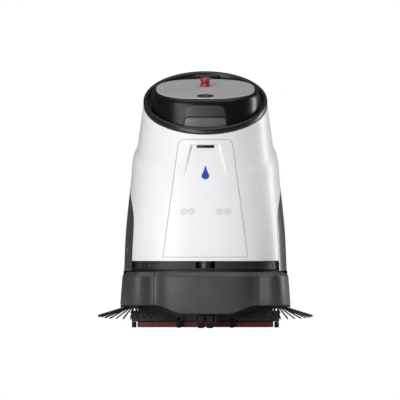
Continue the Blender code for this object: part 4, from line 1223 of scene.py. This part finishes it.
def build_deck():
    """The deck's rubber skirt, with the fine ribs of its moulding, and the squeegee's blade."""
    middle, depth = ROLLER_Y, 0.190
    walls = []
    for side in (1, -1):
        walls.append(block((0.526, 0.0050, 0.021), (0, middle + side * (depth / 2), 0.0125), 0.0012))
        walls.append(block((0.0050, depth + 0.004, 0.021), (side * 0.2605, middle, 0.0125), 0.0012))
        for row in range(3):
            walls.append(
                block((0.5230, 0.0010, 0.0012), (0, middle + side * 0.0973, 0.0065 + 0.0055 * row), 0.0003, 1)
            )
    finished("deck_skirt_fine", merged(*walls), "red_rubber", "deck", ["deck_skirt"])
    blade = block((0.532, 0.006, 0.049), (0, SQUEEGEE_Y, 0.0250), 0.0012)
    finished("squeegee_blade_fine", blade, "black_rubber", "squeegee", ["squeegee_blade"])
    beam = block((0.524, 0.034, 0.028), (0, SQUEEGEE_Y, 0.064), 0.004)
    finished("squeegee_beam_fine", beam, "dark_satin", "squeegee", ["squeegee_beam"])


# ---------------------------------------------------------------- frame nodes that keep their shape

KEPT_NODES = {
    "chassis_frame": "powder_coat",
    # The hinge takes painted shade too: its near black stands for the shade behind the lid.
    "head_hinge": "painted_shade_black",
    "battery_pack": "dark_matt",
    "solution_tank": "tank",
    "recovery_tank": "tank",
    "vacuum_blower": "black_gloss",
    "control_box": "zinc",
    "water_pump": "zinc",
    "drive_motor_left": "zinc",
    "drive_motor_right": "zinc",
    "side_brush_arm_left": "dark_satin",
    "side_brush_arm_right": "dark_satin",
    "caster_fork": "powder_coat",
    "deck_housing": "dark_satin",
    "deck_motor": "zinc",
    "suction_riser": "dark_satin",
}


def finish_kept_nodes():
    for name, finish in KEPT_NODES.items():
        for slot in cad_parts[name].material_slots:
            slot.material = FINISHES[finish]


# ---------------------------------------------------------------- stage


def soft_light(name, place, target, size, power, colour="#ffffff"):
    lamp = bpy.data.lights.new(name, "AREA")
    lamp.shape = "RECTANGLE"
    lamp.size, lamp.size_y = size
    lamp.energy = power
    lamp.color = linear(colour)[:3]
    light = bpy.data.objects.new(name, lamp)
    light.location = place
    light.rotation_euler = (Vector(target) - Vector(place)).to_track_quat("-Z", "Y").to_euler()
    light.visible_camera = False
    bpy.context.scene.collection.objects.link(light)


def floor_finish(size):
    """Pale matt floor that runs out into the white surround, so that no edge of it shows."""
    # A studio sweep: near the machine it takes soft shadows, further out the eye sees only white.
    finish = surface("pale_studio_floor", ("#f4f4f4", "#f0f0f0"), 0.7, 700, 8.0, {"IOR": 1.4})
    tree = finish.node_tree
    place = add_node(tree, "ShaderNodeTexCoord").outputs["Object"]
    far = add_node(tree, "ShaderNodeVectorMath", {"operation": "LENGTH"}, {0: place}).outputs["Value"]
    share = add_node(
        tree, "ShaderNodeMapRange", {"From Min": size * 0.02, "From Max": size * 0.04, "To Min": 0.97},
        {"Value": far}
    ).outputs["Result"]
    seen = add_node(tree, "ShaderNodeLightPath").outputs["Is Camera Ray"]
    share = add_node(tree, "ShaderNodeMath", {"operation": "MULTIPLY"}, {0: share, 1: seen}).outputs["Value"]
    white = add_node(tree, "ShaderNodeEmission", {"Strength": 1.0}).outputs["Emission"]
    mix = add_node(
        tree, "ShaderNodeMixShader", {},
        {0: share, 1: tree.nodes["Principled BSDF"].outputs["BSDF"], 2: white}
    )
    tree.links.new(mix.outputs["Shader"], tree.nodes["Material Output"].inputs["Surface"])
    return finish


def build_stage(stage):
    """A plain pale floor, a white surround, soft lights and the camera."""
    bm = bmesh.new()
    bmesh.ops.create_grid(bm, x_segments=1, y_segments=1, size=stage.floor_size / 2)
    mesh = bpy.data.meshes.new("studio_floor")
    bm.to_mesh(mesh)
    bm.free()
    mesh.materials.append(floor_finish(stage.floor_size))
    floor = bpy.data.objects.new("studio_floor", mesh)
    bpy.context.scene.collection.objects.link(floor)

    world = bpy.data.worlds.new("studio")
    world.use_nodes = True
    tree = world.node_tree
    rays = add_node(tree, "ShaderNodeLightPath").outputs
    # White to the eye, a soft fill as light, and dark in reflections, as between black cards.
    fill = add_node(
        tree, "ShaderNodeMapRange", {"To Min": stage.surround, "To Max": stage.cards},
        {"Value": rays["Is Glossy Ray"]}
    ).outputs["Result"]
    strength = add_node(tree, "ShaderNodeMath", {"operation": "MAXIMUM"}, {0: fill, 1: rays["Is Camera Ray"]})
    tree.links.new(strength.outputs["Value"], tree.nodes["Background"].inputs["Strength"])
    tree.nodes["Background"].inputs["Color"].default_value = (1, 1, 1, 1)
    bpy.context.scene.world = world

    middle = (0.0, 0.0, 0.5)
    soft_light("key_front_left", (-2.2, -3.4, 1.7), middle, (2.4, 2.8), stage.key_power)
    soft_light("rim_right", (2.6, 1.6, 1.2), middle, (0.8, 2.4), stage.rim_power)
    soft_light("low_front", (-1.1, -3.4, 0.35), (0.0, 0.0, 0.15), (1.8, 0.5), stage.low_power)
    soft_light("top_fill", (0.0, -0.2, 3.4), middle, (2.6, 2.6), stage.top_power)

    lens = bpy.data.cameras.new("camera")
    lens.lens = stage.lens
    lens.clip_end = 400.0
    camera = bpy.data.objects.new("camera", lens)
    distance = stage.view_width * stage.lens / lens.sensor_width
    aim = Vector((stage.aim_x, 0.0, stage.aim_z))
    camera.location = (stage.aim_x, -distance - 0.35, stage.camera_height)
    camera.rotation_euler = (aim - camera.location).to_track_quat("-Z", "Y").to_euler()
    bpy.context.scene.collection.objects.link(camera)
    bpy.context.scene.camera = camera
    bpy.context.scene.view_settings.view_transform = "Standard"


# ---------------------------------------------------------------- add-on


class FloorCleanerLooks(bpy.types.PropertyGroup):
    """Colours and fineness of the pieces."""

    shell: bpy.props.StringProperty(name="Shell", description="Colour of the white shell", default="#e7e7e8")
    bumper: bpy.props.StringProperty(
        name="Bumper", description="Colour of the bumper and skirt", default="#39393a"
    )
    plate: bpy.props.StringProperty(name="Plate", description="Colour of the lid's plate", default="#b2b2b4")
    stop: bpy.props.StringProperty(name="Stop", description="Colour of the emergency stop", default="#a3242b")
    skirt: bpy.props.StringProperty(name="Skirt", description="Colour of the deck's skirt", default="#8a343b")
    badge: bpy.props.StringProperty(name="Badge", description="Colour of the badge", default="#2257ad")
    shell_columns: bpy.props.IntProperty(
        name="Shell columns", description="Columns of a shell's grid", default=112, min=24, max=240
    )
    ring_segments: bpy.props.IntProperty(
        name="Ring segments", description="Segments round the ring and the lid", default=160, min=32, max=360
    )
    round_segments: bpy.props.IntProperty(
        name="Round segments", description="Segments of a small round piece", default=72, min=16, max=192
    )
    tufts: bpy.props.IntProperty(
        name="Tufts", description="Tufts round a side brush", default=30, min=6, max=60
    )
    strands: bpy.props.IntProperty(
        name="Strands", description="Bristles in one tuft of a side brush", default=16, min=4, max=60
    )


class FloorCleanerStage(bpy.types.PropertyGroup):
    """Camera, floor and light."""

    lens: bpy.props.FloatProperty(
        name="Lens", description="Focal length", default=1500.0, min=20.0, max=1600.0,
        subtype="DISTANCE_CAMERA"
    )
    view_width: bpy.props.FloatProperty(
        name="View width", description="Width of the field at the machine", default=1.549, min=0.5,
        unit="LENGTH"
    )
    aim_x: bpy.props.FloatProperty(
        name="Aim X", description="Where the camera points", default=-0.021, unit="LENGTH"
    )
    aim_z: bpy.props.FloatProperty(
        name="Aim Z", description="Height it points at", default=0.496, unit="LENGTH"
    )
    camera_height: bpy.props.FloatProperty(
        name="Camera height", description="Height of the lens over the floor", default=0.70, unit="LENGTH"
    )
    floor_size: bpy.props.FloatProperty(
        name="Floor size", description="Side of the floor", default=12.0, min=2.0, unit="LENGTH"
    )
    surround: bpy.props.FloatProperty(
        name="Surround", description="Strength of the white surround as light", default=0.30, min=0.0, max=2.0
    )
    cards: bpy.props.FloatProperty(
        name="Cards", description="Strength of the surround in reflections", default=0.07, min=0.0, max=2.0
    )
    key_power: bpy.props.FloatProperty(
        name="Key", description="Front left light", default=78.0, min=0.0, unit="POWER"
    )
    rim_power: bpy.props.FloatProperty(
        name="Rim", description="Right side light", default=44.0, min=0.0, unit="POWER"
    )
    low_power: bpy.props.FloatProperty(
        name="Low", description="Low front light that reaches under the bumper", default=22.0, min=0.0,
        unit="POWER"
    )
    top_power: bpy.props.FloatProperty(
        name="Top", description="Light from above", default=35.0, min=0.0, unit="POWER"
    )


class PieceOperator:
    """What the operators share: they need the finishes, and say so when a piece is missing."""

    bl_options = {"REGISTER", "UNDO"}

    def confirm(self, *names):
        missing = [name for name in names if name not in bpy.data.objects]
        if missing:
            raise RuntimeError(f"{self.bl_label}: {', '.join(missing)} is missing")
        return {"FINISHED"}


def looks_of(context):
    """The settings of the pieces. The finishes are made before any piece."""
    if not FINISHES:
        raise RuntimeError("Make the finishes before the pieces")
    return context.scene.floor_cleaner_looks


class FLOORCLEANER_OT_finishes(PieceOperator, bpy.types.Operator):
    """Make the procedural finishes and give them to the nodes that keep their shape"""

    bl_idname = "floorcleaner.finishes"
    bl_label = "Finishes"

    def execute(self, context):
        FINISHES.update(make_finishes(context.scene.floor_cleaner_looks))
        finish_kept_nodes()
        return self.confirm(*KEPT_NODES)


class FLOORCLEANER_OT_shells(PieceOperator, bpy.types.Operator):
    """Build the white front and rear shells"""

    bl_idname = "floorcleaner.shells"
    bl_label = "Shells"

    def execute(self, context):
        looks = looks_of(context)
        build_front_shell(looks.shell_columns)
        build_rear_shell(looks.shell_columns)
        return self.confirm("front_shell_fine", "rear_shell_fine")


class FLOORCLEANER_OT_service_panel(PieceOperator, bpy.types.Operator):
    """Build the service panel with its scoop, sensors and badge"""

    bl_idname = "floorcleaner.service_panel"
    bl_label = "Service panel"

    def execute(self, context):
        looks = looks_of(context)
        build_service_panel(looks.shell_columns)
        build_sensors(looks.round_segments)
        build_badge(looks.round_segments)
        return self.confirm(
            "service_panel_fine", "sensor_caps_left", "camera_window_fine", "water_drop_badge"
        )


class FLOORCLEANER_OT_side_doors(PieceOperator, bpy.types.Operator):
    """Build the arched side doors and their latches"""

    bl_idname = "floorcleaner.side_doors"
    bl_label = "Side doors"

    def execute(self, context):
        build_side_doors(looks_of(context).shell_columns // 2)
        return self.confirm("side_panel_left_fine", "side_panel_right_fine")


class FLOORCLEANER_OT_rear_fittings(PieceOperator, bpy.types.Operator):
    """Build the push handle and the display"""

    bl_idname = "floorcleaner.rear_fittings"
    bl_label = "Handle and display"

    def execute(self, context):
        build_rear_fittings(looks_of(context).round_segments // 3)
        return self.confirm("push_handle_fine", "display_bezel", "display_glass_pane")


class FLOORCLEANER_OT_collar_ring(PieceOperator, bpy.types.Operator):
    """Build the slanted ring and the deck inside it"""

    bl_idname = "floorcleaner.collar_ring"
    bl_label = "Collar ring"

    def execute(self, context):
        build_collar_ring(looks_of(context).ring_segments)
        return self.confirm("collar_ring_fine", "top_deck_fine")


class FLOORCLEANER_OT_lid(PieceOperator, bpy.types.Operator):
    """Build the hinged lid: drum, grip, finger tab and top plate"""

    bl_idname = "floorcleaner.lid"
    bl_label = "Lid"

    def execute(self, context):
        looks = looks_of(context)
        build_lid(looks.ring_segments)
        build_plate(looks.ring_segments)
        return self.confirm("lid_drum", "lid_grip", "lid_finger_tab", "lid_plate")


class FLOORCLEANER_OT_buttons(PieceOperator, bpy.types.Operator):
    """Build the emergency stop and the start button"""

    bl_idname = "floorcleaner.buttons"
    bl_label = "Buttons"

    def execute(self, context):
        build_buttons(looks_of(context).round_segments)
        return self.confirm("stop_mushroom", "stop_collar_fine", "start_button_fine")


class FLOORCLEANER_OT_sensor_band(PieceOperator, bpy.types.Operator):
    """Build the dark sensor band and the laser scanner"""

    bl_idname = "floorcleaner.sensor_band"
    bl_label = "Sensor band"

    def execute(self, context):
        build_sensor_band(looks_of(context).shell_columns)
        return self.confirm("sensor_band", "laser_scanner")


class FLOORCLEANER_OT_base(PieceOperator, bpy.types.Operator):
    """Build the rear skirt and the three mouldings of the bumper"""

    bl_idname = "floorcleaner.base"
    bl_label = "Skirt and bumper"

    def execute(self, context):
        build_rear_skirt(looks_of(context).shell_columns)
        build_bumper(6)
        return self.confirm("rear_skirt_fine", "bumper_centre_fine", "bumper_corner_left_fine")


class FLOORCLEANER_OT_side_brushes(PieceOperator, bpy.types.Operator):
    """Build the side brushes, strand by strand"""

    bl_idname = "floorcleaner.side_brushes"
    bl_label = "Side brushes"

    def execute(self, context):
        looks = looks_of(context)
        build_side_brushes(looks.tufts, looks.strands)
        return self.confirm("side_brush_tufts_left", "side_brush_tufts_right")


class FLOORCLEANER_OT_wheels(PieceOperator, bpy.types.Operator):
    """Build every wheel: drive, caster, gauge and guard rollers"""

    bl_idname = "floorcleaner.wheels"
    bl_label = "Wheels"

    def execute(self, context):
        build_wheels(2 * looks_of(context).round_segments)
        return self.confirm(
            "drive_tyre_left_fine", "caster_tread_left", "gauge_wheel_left_fine", "end_roller_left_fine"
        )


class FLOORCLEANER_OT_deck(PieceOperator, bpy.types.Operator):
    """Build the scrub roller, the deck's skirt and the squeegee"""

    bl_idname = "floorcleaner.deck"
    bl_label = "Deck and squeegee"

    def execute(self, context):
        looks_of(context)
        build_roller(40)
        build_deck()
        return self.confirm("scrub_roller", "deck_skirt_fine", "squeegee_blade_fine")


class FLOORCLEANER_OT_stage(PieceOperator, bpy.types.Operator):
    """Build the floor, the surround, the lights and the camera"""

    bl_idname = "floorcleaner.stage"
    bl_label = "Stage"

    def execute(self, context):
        build_stage(context.scene.floor_cleaner_stage)
        return self.confirm("studio_floor", "camera")


PIECE_OPERATORS = (
    FLOORCLEANER_OT_finishes,
    FLOORCLEANER_OT_shells,
    FLOORCLEANER_OT_service_panel,
    FLOORCLEANER_OT_side_doors,
    FLOORCLEANER_OT_rear_fittings,
    FLOORCLEANER_OT_collar_ring,
    FLOORCLEANER_OT_lid,
    FLOORCLEANER_OT_buttons,
    FLOORCLEANER_OT_sensor_band,
    FLOORCLEANER_OT_base,
    FLOORCLEANER_OT_side_brushes,
    FLOORCLEANER_OT_wheels,
    FLOORCLEANER_OT_deck,
    FLOORCLEANER_OT_stage,
)


class FLOORCLEANER_PT_panel(bpy.types.Panel):
    """The operators of the floor cleaner, in their order"""

    bl_idname = "FLOORCLEANER_PT_panel"
    bl_label = "Floor cleaner"
    bl_space_type = "VIEW_3D"
    bl_region_type = "UI"
    bl_category = "Floor cleaner"

    def draw(self, context):
        for settings in (context.scene.floor_cleaner_looks, context.scene.floor_cleaner_stage):
            box = self.layout.box()
            for name in settings.__annotations__:
                box.prop(settings, name)
        for operator in PIECE_OPERATORS:
            self.layout.operator(operator.bl_idname)


CLASSES = (FloorCleanerLooks, FloorCleanerStage, *PIECE_OPERATORS, FLOORCLEANER_PT_panel)


def register():
    for item in CLASSES:
        bpy.utils.register_class(item)
    bpy.types.Scene.floor_cleaner_looks = bpy.props.PointerProperty(type=FloorCleanerLooks)
    bpy.types.Scene.floor_cleaner_stage = bpy.props.PointerProperty(type=FloorCleanerStage)


def unregister():
    del bpy.types.Scene.floor_cleaner_stage
    del bpy.types.Scene.floor_cleaner_looks
    for item in reversed(CLASSES):
        bpy.utils.unregister_class(item)


def main():
    register()
    bpy.ops.floorcleaner.finishes()
    bpy.ops.floorcleaner.shells()
    bpy.ops.floorcleaner.service_panel()
    bpy.ops.floorcleaner.side_doors()
    bpy.ops.floorcleaner.rear_fittings()
    bpy.ops.floorcleaner.collar_ring()
    bpy.ops.floorcleaner.lid()
    bpy.ops.floorcleaner.buttons()
    bpy.ops.floorcleaner.sensor_band()
    bpy.ops.floorcleaner.base()
    bpy.ops.floorcleaner.side_brushes()
    bpy.ops.floorcleaner.wheels()
    bpy.ops.floorcleaner.deck()
    bpy.ops.floorcleaner.stage()


if __name__ == "__main__":
    main()
